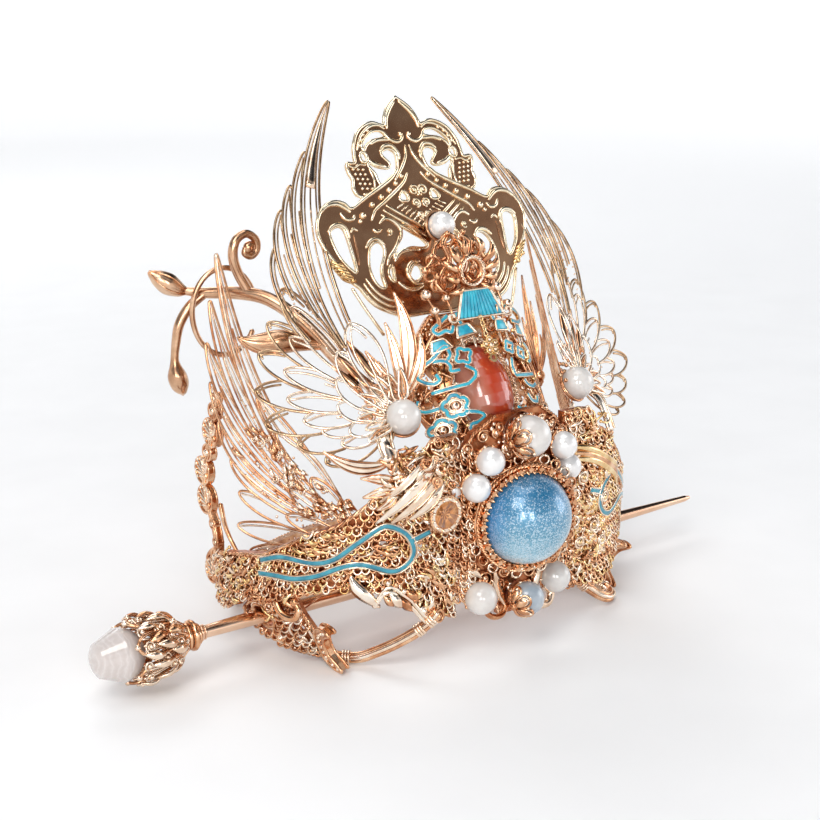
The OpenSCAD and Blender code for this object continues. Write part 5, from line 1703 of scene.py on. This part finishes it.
def charm():
    p = Piece("charm_chain", LEANING)
    for angle in around(5, 18):
        x, y = turned(1.25, angle) + (CHARM_X, CHARM_Y)
        p.coil(x, y, 1.2, 0.72, 0, 330, 12, 0.17, r0=0.72)
        p.grain((x, y, 1.15), 0.42, 1)
    p.bead((CHARM_X, CHARM_Y, 1.2), 0.62, 1)
    # links that lie flat and stand on edge by turns
    t = np.radians(around(12))
    for k in range(5):
        across, deep = (0.42, 0) if k % 2 else (0, 0.42)
        x, y = CHARM_X + across * np.cos(t), CHARM_Y + 1.6 + 1.15 * k + 0.72 * np.sin(t)
        p.ring(np.column_stack([x, y, 0.7 + deep * np.cos(t)]), 0.16)
    return p


charm().build([gold, pale], "yellow_gold")


# Caps on beads: wire petals that follow the bead

CROWN_CAP = shift(0, -37, 47.8) @ turn("z", -8) @ turn("y", -103)
BASE_CAP = shift(0, -37.4, 12) @ turn("y", -105)
PETALS = 6


def filigree_cap(name, m, r, reach=66):
    p = Piece(name, m)
    out = r + 0.36
    step = 360 / PETALS

    def at(polar, angle, lift=0.0):
        a = math.radians(polar)
        return (*turned((out + lift) * math.sin(a), angle), (out + lift) * math.cos(a))

    for base in around(PETALS):
        for grow, wire, lift, slot in ((1.0, 0.27, 0.0, 0), (0.62, 0.18, 0.12, 1)):
            loop = []
            for a in np.radians(around(16)):
                polar = 40 - 26 * math.cos(a) * grow
                spread = step * 0.47 * grow * math.sin(a) * (0.75 + 0.25 * (polar - 14) / 52)
                loop.append(at(polar, base + spread, lift))
            p.ring(loop, wire, slot)
        t = np.linspace(0, 1, 9)
        over, under = ([at(10 + 50 * q, base, lift) for q in t] for lift in (0.05, 0))
        p.leaf(over, bulge(t, r * 0.28, 0.05, (0.9, 0.05)), 0, 0.3, 0.25, under)
        p.bead(at(reach, base, 0.1), 0.42, 1)
        p.bead(at(50, base + step / 2, 0.1), 0.34, 1)
    p.rope([at(12, angle) for angle in around(18)], UP, 0.16, 0.2, 1.3, closed=True)
    p.bead((0, 0, out + 0.2), 0.9, 0, 14, 8, (1, 1, 0.7))
    return p


filigree_cap("crown_cap_filigree", CROWN_CAP, 4.4).build(TRIM, "rose_gold", ["crown_bead_cap"])
filigree_cap("base_cap_filigree", BASE_CAP, 3.6, 58).build(TRIM, "rose_gold", ["base_bead_cap"])

# Place and radius of each pearl and bead on the front
SEATS = [((0, -37, 47.8), 4.4), ((9.9, -36.4, 44), 3), ((12.7, -34.9, 38.4), 3), ((-9.9, -36.4, 44), 3),
         ((-12.4, -35, 38.4), 3), ((0, -37.4, 12), 3.6), ((10.3, -34.4, 13.5), 3.5), ((-10.3, -34.4, 13.5), 3.5)]


def bead_collars():
    """Small collars behind the pearls and beads."""
    p = Piece("bead_collars")
    for c, r in SEATS:
        p.frame = shift(*c) @ turn("z", c[0] * 1.3) @ turn("x", 90)
        p.ring(circle_line(r * 0.93, -r * 0.42, 36), 0.34)
        for k, angle in enumerate(around(10)):
            p.grain((*turned(r, angle), -r * 0.34), 0.4, k % 2)
    return p


bead_collars().build(TRIM, "rose_gold")


# The faceted stone on the left net

AT_AMBER = MIRROR @ side_frame(1.4, 33.8, 0.3)
FACETS = 16
FACET_MIDDLE = 1.7
# Radius and height
FACET_RINGS = [(1.15, 2.1), (2.7, 2.75), (2.9, 2.3), (1.6, 1.05)]


def amber_claws():
    p = Piece("amber_claws", AT_AMBER)
    p.rope(circle_line(3.75, 2.3, 36), UP, 0.2, 0.24, 1.5, closed=True)
    for angle in around(12, 15):
        p.grain((*turned(3.3, angle), 2.75), 0.36, 1)
    for angle in around(16):
        p.tube([(*turned(2.7, angle), 0.3), (*turned(3.75, angle), 2.3)], 0.22)
    return p


def amber_facets():
    """A sunk middle with facets that rise to the rim, painted lit and shaded by turns: painted highlights and
    painted shade on one amber.
    """
    p = Piece("amber_facets")
    pts = [(0, 0, FACET_MIDDLE)]
    for k, (r, z) in enumerate(FACET_RINGS):
        pts += [(*turned(r, angle), z) for angle in around(FACETS, k % 2 * 180 / FACETS)]

    def at(k, i):
        return 1 + k * FACETS + i % FACETS

    # painted light: lit facets take the pale amber, shaded facets the dark copy
    dark, light = [], []
    for i in range(FACETS):
        (dark if i % 2 else light).append((0, at(0, i), at(0, i + 1)))
        (light if i % 2 else dark).append((at(0, i), at(1, i), at(0, i + 1)))
        (dark if i % 4 < 2 else light).append((at(1, i), at(1, i + 1), at(0, i + 1)))
        light += [(at(1, i), at(2, i), at(1, i + 1)), (at(2, i), at(2, i + 1), at(1, i + 1))]
        dark += [(at(2, i), at(3, i), at(2, i + 1)), (at(3, i), at(3, i + 1), at(2, i + 1))]
    dark.append([at(3, i) for i in range(FACETS)][::-1])
    # its frame mirrors, so the faces are turned round
    for slot, faces in enumerate((light, dark)):
        p.add(place(AT_AMBER, pts), [f[::-1] for f in faces], slot)
    return p


amber_claws().build(TRIM, "rose_gold")
amber_facets().build([amber_glass, amber_painted_shade], "amber_glass", ["amber_stone"])


# Tails: rings on the cone below each net, roped edges, and the fins' trims

TAIL_ANGLE = 70
TAIL_EDGE = [(-6.3, 15.9), (-2.7, 14.5), (1.1, 13.2), (7.3, 11.7), (12.2, 7.4), (11.4, 6.6), (6.4, 3.6),
             (-1.6, 1.6), (-7.5, 1), (-9.4, 1.8), (-9.6, 4.6), (-8.2, 8), (-7, 12)]
# Where the hairpin goes through
PIN_Y, PIN_Z = -6.0, 9.0
# Columns: x, height, radius, start of the turn
TAIL_CURLS = [(-5, 5, 1.5, 20), (-1.0, 11.2, 1.5, 140), (8.8, 7.6, 1.2, 250), (-5.4, 11.6, 1.3, 60),
              (0.4, 4.2, 1.2, 320)]
# Columns: both ends, half width
TAIL_LEAVES = [(-8.6, 2.6, -3, 1.8, 0.8), (-3, 2.2, 3.2, 3.2, 0.8), (5.4, 4.6, 10.8, 6.8, 0.8),
               (-8.4, 4, -7.2, 9, 0.7)]


def tail_radius(z):
    """The outer face of the tail's cone, at a height."""
    return 22.8 + (z + 1) * 7.4 / 18 + 1.4


def tail_at(x, z, out=0.0):
    r = tail_radius(z)
    a = math.radians(TAIL_ANGLE) + math.asin(max(-1, min(1, x / r)))
    return (SIDE_X + (r + out) * math.sin(a), -(r + out) * math.cos(a), z)


def tail(name, seed):
    p = Piece(name)
    rnd = random.Random(seed)
    edge = np.array(TAIL_EDGE)
    inner = edge.mean(0) + (edge - edge.mean(0)) * 0.9
    z, row = 1.6, 0
    while z < 16:
        x = -9.6 + (row % 2) * 0.95
        while x < 12.4:
            xx, zz = x + rnd.uniform(-0.15, 0.15), z + rnd.uniform(-0.1, 0.1)
            c = np.array(tail_at(xx, zz, 0.25))
            clear = math.hypot(c[1] - PIN_Y, c[2] - PIN_Z) > 3.4
            if clear and inside(np.array([[xx, zz]]), inner)[0]:
                angle = math.degrees(math.atan2(c[0] - SIDE_X, -c[1]))
                r = 0.98 + rnd.uniform(-0.1, 0.1)
                ring_at(p, c, angle, r, 0.26, rnd.choice((0, 0, 1)), 0.5, (0.35, 0.93), 12, 6)
                if rnd.random() < 0.55:
                    p.grain(c, 0.42, rnd.choice((0, 1)))
            x += 1.9
        z += 1.55
        row += 1
    pts = np.array([tail_at(*q, 0.1) for q in closed_line(edge, 0.5)])
    p.rope(pts, unit((pts - (SIDE_X, 0, 0)) * (1, 1, 0)), 0.24, 0.3, 2.0)
    # a collar round the pin's hole
    for r, w, slot in ((2.75, 0.42, 0), (3.25, 0.26, 1)):
        loop = []
        for angle in around(20):
            y, z = turned(r, angle) + (PIN_Y, PIN_Z)
            loop.append((SIDE_X + math.sqrt((tail_radius(z) + 0.3) ** 2 - y * y), y, z))
        p.ring(loop, w, slot, 8)
    # scrolls and leaves by the foot
    for x, z, r, start in TAIL_CURLS:
        p.curl(near(tail_at, x, z, 0.9), r, start, slot=1)
    for *ends, w in TAIL_LEAVES:
        t, x, z = between(*ends)
        line = [tail_at(*q, 0.6) for q in zip(x, z)]
        p.leaf(line, bulge(t, w, 0.05), 1, crown=0.35, up=outward(TAIL_ANGLE))
    return p


tail("tail_rings_right", 41).build(TRIM, "rose_gold")
tail("tail_rings_left", 42).mirrored("tail_rings_left").build(TRIM, "rose_gold")

FIN = shift(39.3, -16.6, 4.1) @ turn("y", 22) @ turn("z", 90) @ turn("x", 90)
FIN_EDGE = [(-1.8, -2.2), (-4, -3.5), (-6, -3.7), (-7.8, -3.1), (-6.6, -1.8), (-4.8, -0.4), (-4.2, 1),
            (-4.6, 3.2), (-6, 5.2), (-8.8, 6.9), (-6.4, 7.6), (-3.6, 6.6), (-1.8, 4.4), (-1.4, 2), (-1.6, 0)]
# Rows of grains: radius, points
FIN_GRAINS = [(0.5, [(-3.0, -1.2), (-3.0, 1.2), (-3.0, 3.6), (-4.6, 5.6), (-6.8, 6.8)]),
              (0.45, [(-3.0, -1.6), (-4.8, -2.6), (-6.6, -2.8)])]


def fin():
    p = Piece("fin_trim_right", FIN)
    for z in (0.85, -0.85):
        p.ring(flat(smooth(FIN_EDGE, 4, True), z), 0.34, 0, 8)
        for r, pts in FIN_GRAINS:
            p.grain_row(flat(smooth(pts, 5), z), r, 2.3)
    return p


fin().build_both(TRIM, "rose_gold")


# Rim arcs: bundles of wires with wraps

ARC_LEFT = [(36.4, -18.4, 1.6), (34.6, -20.4, 1.5), (32.8, -22.7, 2.0), (30.8, -25, 3.4), (28.6, -27.2, 5),
            (26.2, -29.2, 6.8), (24.2, -30.8, 8.5), (22.2, -32, 10.4), (20.6, -32.9, 12.4)]
ARC_RIGHT = [(36.2, -19, 2.2), (35.6, -22.2, 1.7), (35.4, -25.2, 1.5), (34.2, -27.9, 1.5), (32.2, -29.4, 1.5),
             (30, -29.6, 2.2), (27.6, -28.6, 3.8), (25.2, -27.5, 6), (23.2, -27.2, 8.2)]


def rim_arc(name, points, wraps):
    """wraps says how far along the wires each wrap lies."""
    p = Piece(name)
    line = smooth(points)
    d = headings(line)
    side = unit(np.cross(d, (0.2, 0.1, 1)))
    normal = unit(np.cross(side, d))
    for k, angle in enumerate(around(5, 20)):
        c, s = turned(0.74, angle)
        p.tube(line + side * c + normal * s, 0.5, (k + 1) % 2, 8)
    a = np.radians(around(12))
    for share in wraps:
        i = int(share * (len(line) - 1))
        wrap = line[i] + np.outer(np.cos(a) * 1.25, side[i]) + np.outer(np.sin(a) * 1.25, normal[i])
        for along in (-0.62, 0, 0.62):
            p.ring(wrap + d[i] * along, 0.32, 1)
    return p


rim_arc("rim_arc_wires_right", ARC_RIGHT, (0.2, 0.86)).build(TRIM, "rose_gold", ["rim_arc_right"])
left_arc = rim_arc("rim_arc_wires_left", ARC_LEFT, (0.12, 0.78, 0.9))
left_arc.mirrored("rim_arc_wires_left").build(TRIM, "rose_gold", ["rim_arc_left"])


# Leaves and scrolls by the left arc. Columns: angle, height, how far out

ARC_LEAF = [(36.4, 22.4, 0.8), (34.4, 20.2, 1.4), (30.8, 18.2, 1.8), (25.9, 15.2, 0.9)]
ARC_SCROLL = [(27.4, 16.4, 1.0), (26.3, 17.4, 1.2), (24.0, 19.2, 1.4), (21.0, 19.5, 1.4), (17.9, 17.9, 1.4),
              (14.0, 15.9, 1.6), (9.9, 12.9, 1.6), (7.2, 11.2, 1.2)]
# The polished lobe under the net's far end
ARC_LOBE = [(66, 14.6, 0.4), (62, 12.6, 1.4), (57, 12.4, 1.8), (55.4, 14.2, 1.6), (57.4, 15.6, 1.0)]
# A crumpled leaf inside the scroll. Columns: angle and height of both ends, half width
ARC_CRUMPLED = [(22.4, 18.4, 17.0, 14.6, 1.2), (19.4, 17.4, 13.0, 13.4, 1.0), (16.4, 18.6, 11.0, 15.6, 1.0),
                (24.4, 17.8, 20.4, 15.2, 0.8)]


def arc_leaves():
    p = Piece("arc_leaves_left")
    line = side_curve(ARC_LEAF)
    half = bulge(np.linspace(0, 1, len(line)), 1.5, 0.08, (0.93, 0.04), 0.8)
    p.leaf(line, half, 0, 0.45, 0.5, outward(31, 0.3))
    p.tube(line + (0, 0, 0.3), 0.3, 1)
    line = side_curve(ARC_SCROLL, 7)
    p.tube(line, 0.42, 0, 8)
    p.tube(line + (0.2, 0.1, -1.05), 0.42, 0, 8)
    p.bead(line[0] + (0.1, 0, -0.5), 0.8, 0, 12, 8)
    for k in range(5):
        q = line[int((0.35 + 0.14 * k) * (len(line) - 1))]
        p.bead(q + (0.1, 0, 1.0), 0.62, k % 2)
    for *ends, w in ARC_CRUMPLED:
        t, a, z = between(*ends)
        line = [on_side(*q) for q in zip(a, z, 0.9 + 0.8 * np.sin(math.pi * t))]
        p.leaf(line, bulge(t, w, span=(0.94, 0.04)), 0 if w > 1 else 1, crown=0.5, up=(0.35, -0.93, 0))
    p.frame = shift(*on_side(3.4, 11.6, 1.8)) @ turn("x", 90)
    p.ring(circle_line(1.3, 0, 20), 0.34, 1, 8)
    p.frame = IDENTITY
    line = side_curve(ARC_LOBE)
    p.tube(line, np.linspace(0.9, 0.6, len(line)), 1, 10)
    p.bead(line[-1], 1.0, 1, 14, 8)
    return p.mirrored("arc_leaves_left")


arc_leaves().build([white_gold, rose], "pale_gold")


# The right side's polished strands. Columns: angle, height, how far out

STRAND = [(-3.6, 41.4, 0.6), (1.3, 40.9, 1.4), (7.2, 39.6, 1.8), (14.2, 37.3, 1.8), (23.4, 34.2, 1.5),
          (31.4, 30.8, 0.6)]
# Columns: angle, height, radius
STRAND_CURLS = [(2, 34, 1.6), (16, 27.5, 1.5), (9, 22, 1.7), (15, 17.5, 1.4), (1, 19, 1.4), (18, 33, 1.2)]


def round_side(x, z, out):
    """The side wall by a length along it instead of an angle."""
    return on_side(math.degrees(x / SIDE_R), z, out)


def right_strands():
    """Three polished strands and a field of bright grains."""
    p = Piece("side_strands_right")
    rnd = random.Random(71)
    for k in range(3):
        line = side_curve([(a, z - 1.35 * k + 0.3 * k * math.sin(a / 9), out) for a, z, out in STRAND], 7)
        half = bulge(np.linspace(0.12, 0.9, len(line)), 0.72, 0.1, (1, 0), 0.6)
        p.tube(line, half, 2 if k == 1 else 0, 12)
    for _ in range(260):
        a, z, size = rnd.uniform(-6, 22), rnd.uniform(13.4, 36), rnd.uniform(0.45, 0.85)
        q = on_side(a, z, 0.55)
        if q[0] > SIDE_START and not (0 < a < 13 and 28 < z < 32.5):
            p.bead(q, size, rnd.choice((0, 0, 1)))
    for a, z, r in STRAND_CURLS:
        p.curl(near(round_side, math.radians(a) * SIDE_R, z, 1.5), r, a * 20, 0.34, 1, 0.65, 0, sweep=600)
    return p


right_strands().build([gold, pale, rose], "yellow_gold")


def seam_rings(name, seed):
    """Rings and grains that hide the seam between the front plate and a side net."""
    p = Piece(name)
    rnd = random.Random(seed)
    z = 13.5
    while z < 46:
        for k, x in enumerate((11.9, 13.5, 15.1, 16.7)):
            xx, zz = x + rnd.uniform(-0.3, 0.3), z + 0.75 * (k % 2) + rnd.uniform(-0.25, 0.25)
            if xx < 14.6:
                c, angle = on_front(xx, zz, 0.6), -8
            else:
                angle = math.degrees(math.asin((xx - SIDE_X) / SIDE_R))
                c = on_side(angle, zz, 0.6)
            ring_at(p, np.array(c), angle, 0.85 + rnd.uniform(-0.15, 0.2), 0.26, rnd.choice((0, 0, 1)))
            if rnd.random() < 0.6:
                p.bead(c + np.array(outward(angle)) * 0.2, rnd.uniform(0.4, 0.7), rnd.choice((0, 1)))
        z += 1.5
    return p


seam_rings("seam_rings_right", 81).build(TRIM, "rose_gold")
seam_rings("seam_rings_left", 82).mirrored("seam_rings_left").build(TRIM, "rose_gold")


# Plumes behind the nets. Columns of their lobes: y, z, radius

PLUME_X = 44.2
PLUME_ROWS = [(19.4, 10.6, 3), (17.6, 14.4, 2), (17.2, 18, 1.2), (18.4, 22, 1.3), (21.4, 27, 3.4),
              (22.2, 33.6, 3.3), (19.6, 38.4, 2), (17.8, 43.4, 3.4), (16.2, 48.6, 2), (15.4, 51.6, 1.3)]
PLUME_STEMS = [[(44.2, 15.6, 27.3), (44.4, 12.8, 22.2), (44, 8.3, 17.6), (43.4, 4.5, 15)],
               [(44.2, 17.4, 16.9), (44.6, 20.4, 14.6), (44.8, 21.4, 12.5), (44.8, 20.2, 8.6)]]


def plume():
    p = Piece("plume_trim_right")
    for x in (PLUME_X + 0.65, PLUME_X - 0.65):
        for y, z, r in PLUME_ROWS:
            p.ring([(x, *(turned(r - 0.15, angle) + (y, z))) for angle in around(18)], 0.3)
            if r > 2.5:
                # a scallop: ribs that fan out from its foot, and a grain at each tip
                foot = (x, y - r * 0.5, z - r * 0.3)
                for k in range(7):
                    tip = (x, *(turned(r - 0.4, 30 * k - 40) + (y, z)))
                    p.tube([foot, tip], (0.18, 0.34), 1)
                    p.grain(tip, 0.46, 1)
                p.bead(foot, 0.75)
            else:
                p.bead((x, y, z), min(0.9, r * 0.5), 1)
        spine = smooth([(x, y - 0.3, z) for y, z, _ in PLUME_ROWS])
        for along in (-0.7, 0.1):
            p.tube(spine + (0, along, 0), 0.28)
    for pts in PLUME_STEMS:
        p.tube(smooth(pts, 8), np.linspace(0.6, 0.35, 25), 0, 8)
    return p


plume().build_both(TRIM, "rose_gold")


# Back band: roped edges and a row of grains. Columns: y, height of the edge

BACK_ARC_R, BACK_ARC_Y, BACK_HALF = 51.36, -12.74, 65.4
BAND_TOP = [(16, 13.1), (28, 7.4)]
BAND_FOOT = [(12, 8.8), (24, 0.55)]


def band_line(share, out=0.15, lift=0.0):
    """A line round the band, at a share of the way from its foot to its top, and its outward directions."""
    a = np.radians(np.arange(-BACK_HALF, BACK_HALF + 0.1, 1.5))
    outs = np.column_stack([np.sin(a), np.cos(a), np.zeros(len(a))])
    pts = outs * (BACK_ARC_R + out) + (0, BACK_ARC_Y, 0)
    for q in pts:
        foot, top = table_at(BAND_FOOT, q[1]), table_at(BAND_TOP, q[1])
        q[2] = foot + (top - foot) * share + lift
    return pts, outs


def band():
    p = Piece("band_trim")
    for share in (1, 0):
        p.rope(*band_line(share), 0.24, 0.28, 2.2, 0, 0.6)
    p.grain_row(band_line(0.5, 0.2)[0], 0.5, 3.6)
    for lift in (-1.25, 1.25):
        p.tube(band_line(0.5, lift=lift)[0], 0.22, 1)
    return p


band().build(TRIM, "rose_gold")


# Branch behind the left wing. Columns: place on the right side before mirroring, radius

BRANCH = [(18.9, -15.2, 54.4, 1.1), (21.4, -10.4, 56, 1.2), (25.6, -5, 61, 1.4), (28.2, 0, 66, 1.5),
          (31.2, 5.6, 70.6, 1.5), (34.4, 11, 73.4, 1.5), (38.6, 16.6, 74, 1.4), (43, 21, 73.8, 1.2),
          (46.6, 23.6, 74.2, 0.9)]
BUD = [(46.0, 23.4, 74.1, 0.7), (47.6, 24.2, 74.6, 1.7), (49.6, 25.2, 75.8, 2.4), (51.6, 25.8, 77.2, 1.9),
       (53.0, 26, 78.3, 0.9), (53.6, 26, 78.8, 0.15)]
END_CURL = [(36.4, 14, 74.4, 1.1), (38.2, 15, 78.4, 1.1), (39.3, 15, 82.2, 1.1), (38.5, 15, 85.4, 1.0),
            (36.0, 15, 86.7, 0.9), (33.7, 15, 85.3, 0.9), (33.5, 15, 83.0, 0.85), (34.9, 15, 81.8, 0.8),
            (36.4, 15, 82.5, 0.7), (36.3, 15, 83.8, 0.5)]
DROOP = [(43, 21, 73.8, 1.0), (46.4, 22, 71, 1.1), (48.8, 22.4, 67.4, 1.1), (49.8, 22.4, 63.6, 1.0),
         (50.4, 22.2, 60.2, 0.9), (50.4, 22.1, 58.6, 1.2), (50.1, 22, 56.2, 2.1), (49.5, 22, 54, 2.0),
         (49, 22, 52.4, 1.1), (48.9, 22, 51.6, 0.2)]
SIDE_LEAF = [(27, -2.4, 64, 0.7), (31, 0, 64.6, 1.4), (35.4, 2, 65.4, 2.6), (39.2, 3.4, 65.2, 2.4),
             (42.4, 4, 65.9, 1.4), (45, 4.2, 67.2, 0.15)]


def branch():
    p = Piece("branch_left_stem")
    for rows in (BRANCH, END_CURL, DROOP, SIDE_LEAF, BUD):
        q = smooth(rows, 9)
        p.tube(q, np.maximum(q[:, 3], 0.1), 0, 16)
    # lines along the bud and the leaf
    for rows in (BUD, SIDE_LEAF):
        q = smooth(rows, 9)
        d = headings(q[:, :3])
        side = unit(np.cross(d, (0.2, 1, 0.1)))
        normal = unit(np.cross(side, d))
        for across in (-math.sin(0.6), math.sin(0.6)):
            for up in (math.cos(0.6), -math.cos(0.6)):
                line = q[:, :3] + (side * across + normal * up) * q[:, 3:]
                p.tube(line[2:-2], 0.22, 1)
    # the disc at the curl's end
    p.frame = shift(35.2, 15, 83.6) @ turn("x", 90)
    p.bead((0, 0, 0), 1.5, 0, 16, 10, (1, 1, 0.75))
    p.bead((0, 0, 1.05), 0.5, 1)
    # the ring behind the branch
    p.frame = IDENTITY
    t = np.radians(np.arange(-150, 160, 8))
    p.tube(np.column_stack([7.2 * np.cos(t), 1.2 * np.cos(t), 9.6 * np.sin(t)]) + (39.6, 19.0, 69.6), 0.62, 0, 10)
    return p.mirrored("branch_left_stem")


branch().build([satin_rose, rose], "rose_gold", ["branch_left"])


# Leaf sprays. Columns: root, bend, tip, half width, slot

SPRAY = shift(18.4, -17.6, 54) @ turn("z", 30) @ turn("x", 78)
TALL_LEAVES = [
    ((0, 0), (-3.4, 13), (1.4, 22.6), 1.5, 1), ((0, 0), (0.2, 8.6), (3.4, 16.4), 1.15, 1),
    ((0, 0), (-5, 7), (-3.8, 14), 1.1, 0), ((0.6, 2), (3.4, 4.4), (5.0, 8.4), 0.8, 1),
    ((0, 0), (4, 5.4), (7.6, 10.6), 0.9, 0),
]
# The lower spray's leaves round its root
LOWER_LEAVES = [
    ((2.4, 4.6), (9.6, 3.0), (15.8, 8.2), 1.2, 1), ((1, 0.4), (4.2, 2.4), (8.4, 2.0), 0.95, 1),
    ((1, -0.4), (4.4, -0.4), (8, -2.0), 0.95, 0), ((1, -1), (2.6, -3.2), (5.2, -4.8), 0.8, 1),
]
SWEEP_LEAVES = [
    ((-7.6, 4.0), (-2.0, -1.6), (5.2, -7.6), 1.0, 1), ((-8.4, 1.6), (-4.0, -2.8), (2.2, -8.0), 0.85, 0),
    ((-8.8, -0.6), (-6.0, -3.8), (-1.6, -7.6), 0.75, 1), ((-4.6, 4.6), (-0.6, 1.0), (4.6, -3.2), 0.6, 0),
]


def leaves(p, rows, wave=0.7, base=0.4, veined=True):
    """Hollow leaves with a wire round each, and down the middle where they are veined."""
    rim = 2 if veined else 0
    t = np.linspace(0, 1, 22)
    for k, (*ends, w, slot) in enumerate(rows):
        line = bend(*ends, 22)
        z = base + 0.12 * k + wave * np.sin(math.pi * t)
        half = w * np.sin(math.pi * (t * 0.97 + 0.02) ** 0.85) + 0.06
        p.leaf(np.column_stack([line, z]), half, slot, 0.4, -0.22)
        for s in (-1, 1):
            p.tube(np.column_stack([offset_line(line, s * half), z]), 0.17, rim)
        if veined:
            p.tube(np.column_stack([line, z + 0.1])[:-3], np.linspace(0.26, 0.1, 19), rim)


def leaf_spray():
    p = Piece("leaf_spray_right_leaves", SPRAY)
    leaves(p, TALL_LEAVES)
    p.bead((0, 0, 0.6), 1.5, 2, 14, 8)
    for k in range(5):
        p.bead((*turned(1.9, 200 + 35 * k), 0.5), 0.7, 2)
    p.tube([(0, 0, 0), (-0.6, -3.2, -0.6)], 0.8, 2, 10)
    return p


leaf_spray().build_both([pale, white_gold, rose], "yellow_gold", "leaf_spray")


def lower_spray():
    p = Piece("lower_spray_left_leaves", side_frame(18.2, 41.6, 1.4))
    leaves(p, LOWER_LEAVES, 1.3, 0.5)
    leaves(p, SWEEP_LEAVES, 1.9, 0.6, False)
    p.tube([(0, 0, -1.1), (0, 0, 1.0)], 1.2, 2, 14)
    rnd = random.Random(61)
    # short leaves and bent wires in a jumble over the root
    t = np.linspace(0, 1, 9)
    arch = np.sin(math.pi * t)
    for k in range(40):
        x, y = rnd.uniform(-9.6, 3.4), rnd.uniform(-2.6, 5.8)
        c, s = turned(1, rnd.uniform(-70, 60))
        along, across = rnd.uniform(2.2, 4.4) * t, rnd.uniform(-0.8, 0.8) * arch
        rise = rnd.uniform(0.7, 1.7) + rnd.uniform(0.4, 1.0) * arch
        line = np.column_stack([x + along * c - across * s, y + along * s + across * c, rise])
        if k % 2:
            p.leaf(line, bulge(t, 0.62, span=(0.94, 0.04)), rnd.choice((0, 1, 2)), 0.34, 0.5)
        else:
            p.tube(line, 0.3, rnd.choice((0, 2)), 7)
    for k in range(18):
        c = (rnd.uniform(-9, 3), rnd.uniform(-2, 5), rnd.uniform(0.9, 1.8))
        p.bead(c, rnd.uniform(0.4, 0.7), 2 if k % 3 else 1)
    for k in range(7):
        x, y = rnd.uniform(-8, 1), rnd.uniform(-1, 5)
        p.coil(x, y, 1.9, rnd.uniform(0.8, 1.4), 40 * k, 600, 22, 0.26, 2)
    return p.mirrored("lower_spray_left_leaves")


lower_spray().build([pale, white_gold, rose], "pale_gold", ["lower_spray_left"])


# The hairpin's cap: open petals and filigree over the drop

ON_PIN = shift(0, -6, 9) @ turn("y", 90)
# Place along the pin and radius: the cap's face, and the round that its curls are bent to
CAP_FACE = [(-83, 5.4), (-80.6, 6.2), (-78, 6.3), (-74, 6.0), (-70, 5.2), (-67, 3.8), (-65, 2.4), (-63.6, 2.7),
            (-62.4, 1.9)]
CAP_ROUND = [(-78, 6.3), (-74, 6.1), (-70, 5.2), (-67, 3.8)]
# Columns: both ends along the pin, angle, half width
CAP_LEAVES = [(-66, -71, 30, 1.2), (-68.5, -74, 8, 1.15), (-70, -75.5, -18, 1.0), (-72, -77, 24, 1.0)]
# Columns: place along the pin, angle, radius
CAP_CURLS = [(-68, 12, 1.1), (-72, 32, 1.3), (-75.4, 4, 1.2), (-76.2, 36, 1.0), (-70.2, -8, 1.0)]


def cap_at(angle, z, out=0.0):
    return (*turned(table_at(CAP_FACE, z) + out, angle), z)


def pin_cap():
    p = Piece("pin_cap_filigree", ON_PIN)
    rnd = random.Random(51)
    for z, w in ((-62.4, 0.5), (-63.5, 0.7), (-64.8, 0.5)):
        p.ring([cap_at(angle, z) for angle in around(18)], w, 0, 8)
    p.rope([cap_at(angle, -65.9) for angle in around(18)], UP, 0.22, 0.26, 1.6, 1, closed=True)
    t = np.linspace(0, 1, 10)
    for base in around(PETALS):
        # a long petal: rim, veins and grains
        loop = []
        for a in np.radians(around(28)):
            z = -71.6 + 6.2 * math.cos(a)
            grow = 0.55 + 0.45 * np.clip((-z - 65) / 12, 0, 1)
            loop.append(cap_at(base + 27 * math.sin(a) * grow, z, 0.1))
        p.ring(loop, 0.36, 0, 7)
        for s in (-1, 0, 1):
            p.tube([cap_at(base - s * 13.2 * (z + 66) / 10.4, z) for z in np.linspace(-66.4, -76.6, 12)], 0.24, 1)
        p.bead(cap_at(base, -78, 0.1), 0.62, 1)
        # crumpled leaves and curls on top
        for z0, z1, off, w in CAP_LEAVES:
            a = base + off + rnd.uniform(-5, 5) + rnd.uniform(-16, 16) * t
            line = [cap_at(*q) for q in zip(a, z0 + (z1 - z0) * t, 0.3 + 0.8 * np.sin(math.pi * t))]
            p.leaf(line, bulge(t, w, 0.05), rnd.choice((0, 1)), 0.3, 0.4, [(*turned(1, q), 0) for q in a])
        for z, off, r in CAP_CURLS:
            start = rnd.uniform(0, 360)
            s = spiral((0, 0), 0.25, r, start, rnd.uniform(560, 760) - start)
            a = base + off + np.degrees(s[:, 0] / table_at(CAP_ROUND, z))
            p.tube([cap_at(*q, 0.5) for q in zip(a, z + s[:, 1])], 0.22, 1)
            p.grain(cap_at(base + off, z, 0.7), 0.5, 1)
    # a fine net behind the petals
    for s in (-1, 1):
        for angle in around(12):
            p.tube([cap_at(angle - s * 2.6 * (z + 66), z, -0.25) for z in np.linspace(-66, -75.6, 14)], 0.2, 0, 5)
    return p


def pin_collar():
    """Turned rings where the shaft meets its cap."""
    p = Piece("pin_collar", ON_PIN)
    for z, r, w in ((-61.6, 1.55, 0.32), (-60.8, 1.45, 0.22)):
        p.ring(circle_line(r, z, 18), w, 0, 8)
    return p


pin_cap().build(TRIM, "rose_gold", ["pin_cap"], "hairpin")
pin_collar().build([pin_gold], "pin_gold", body="hairpin")
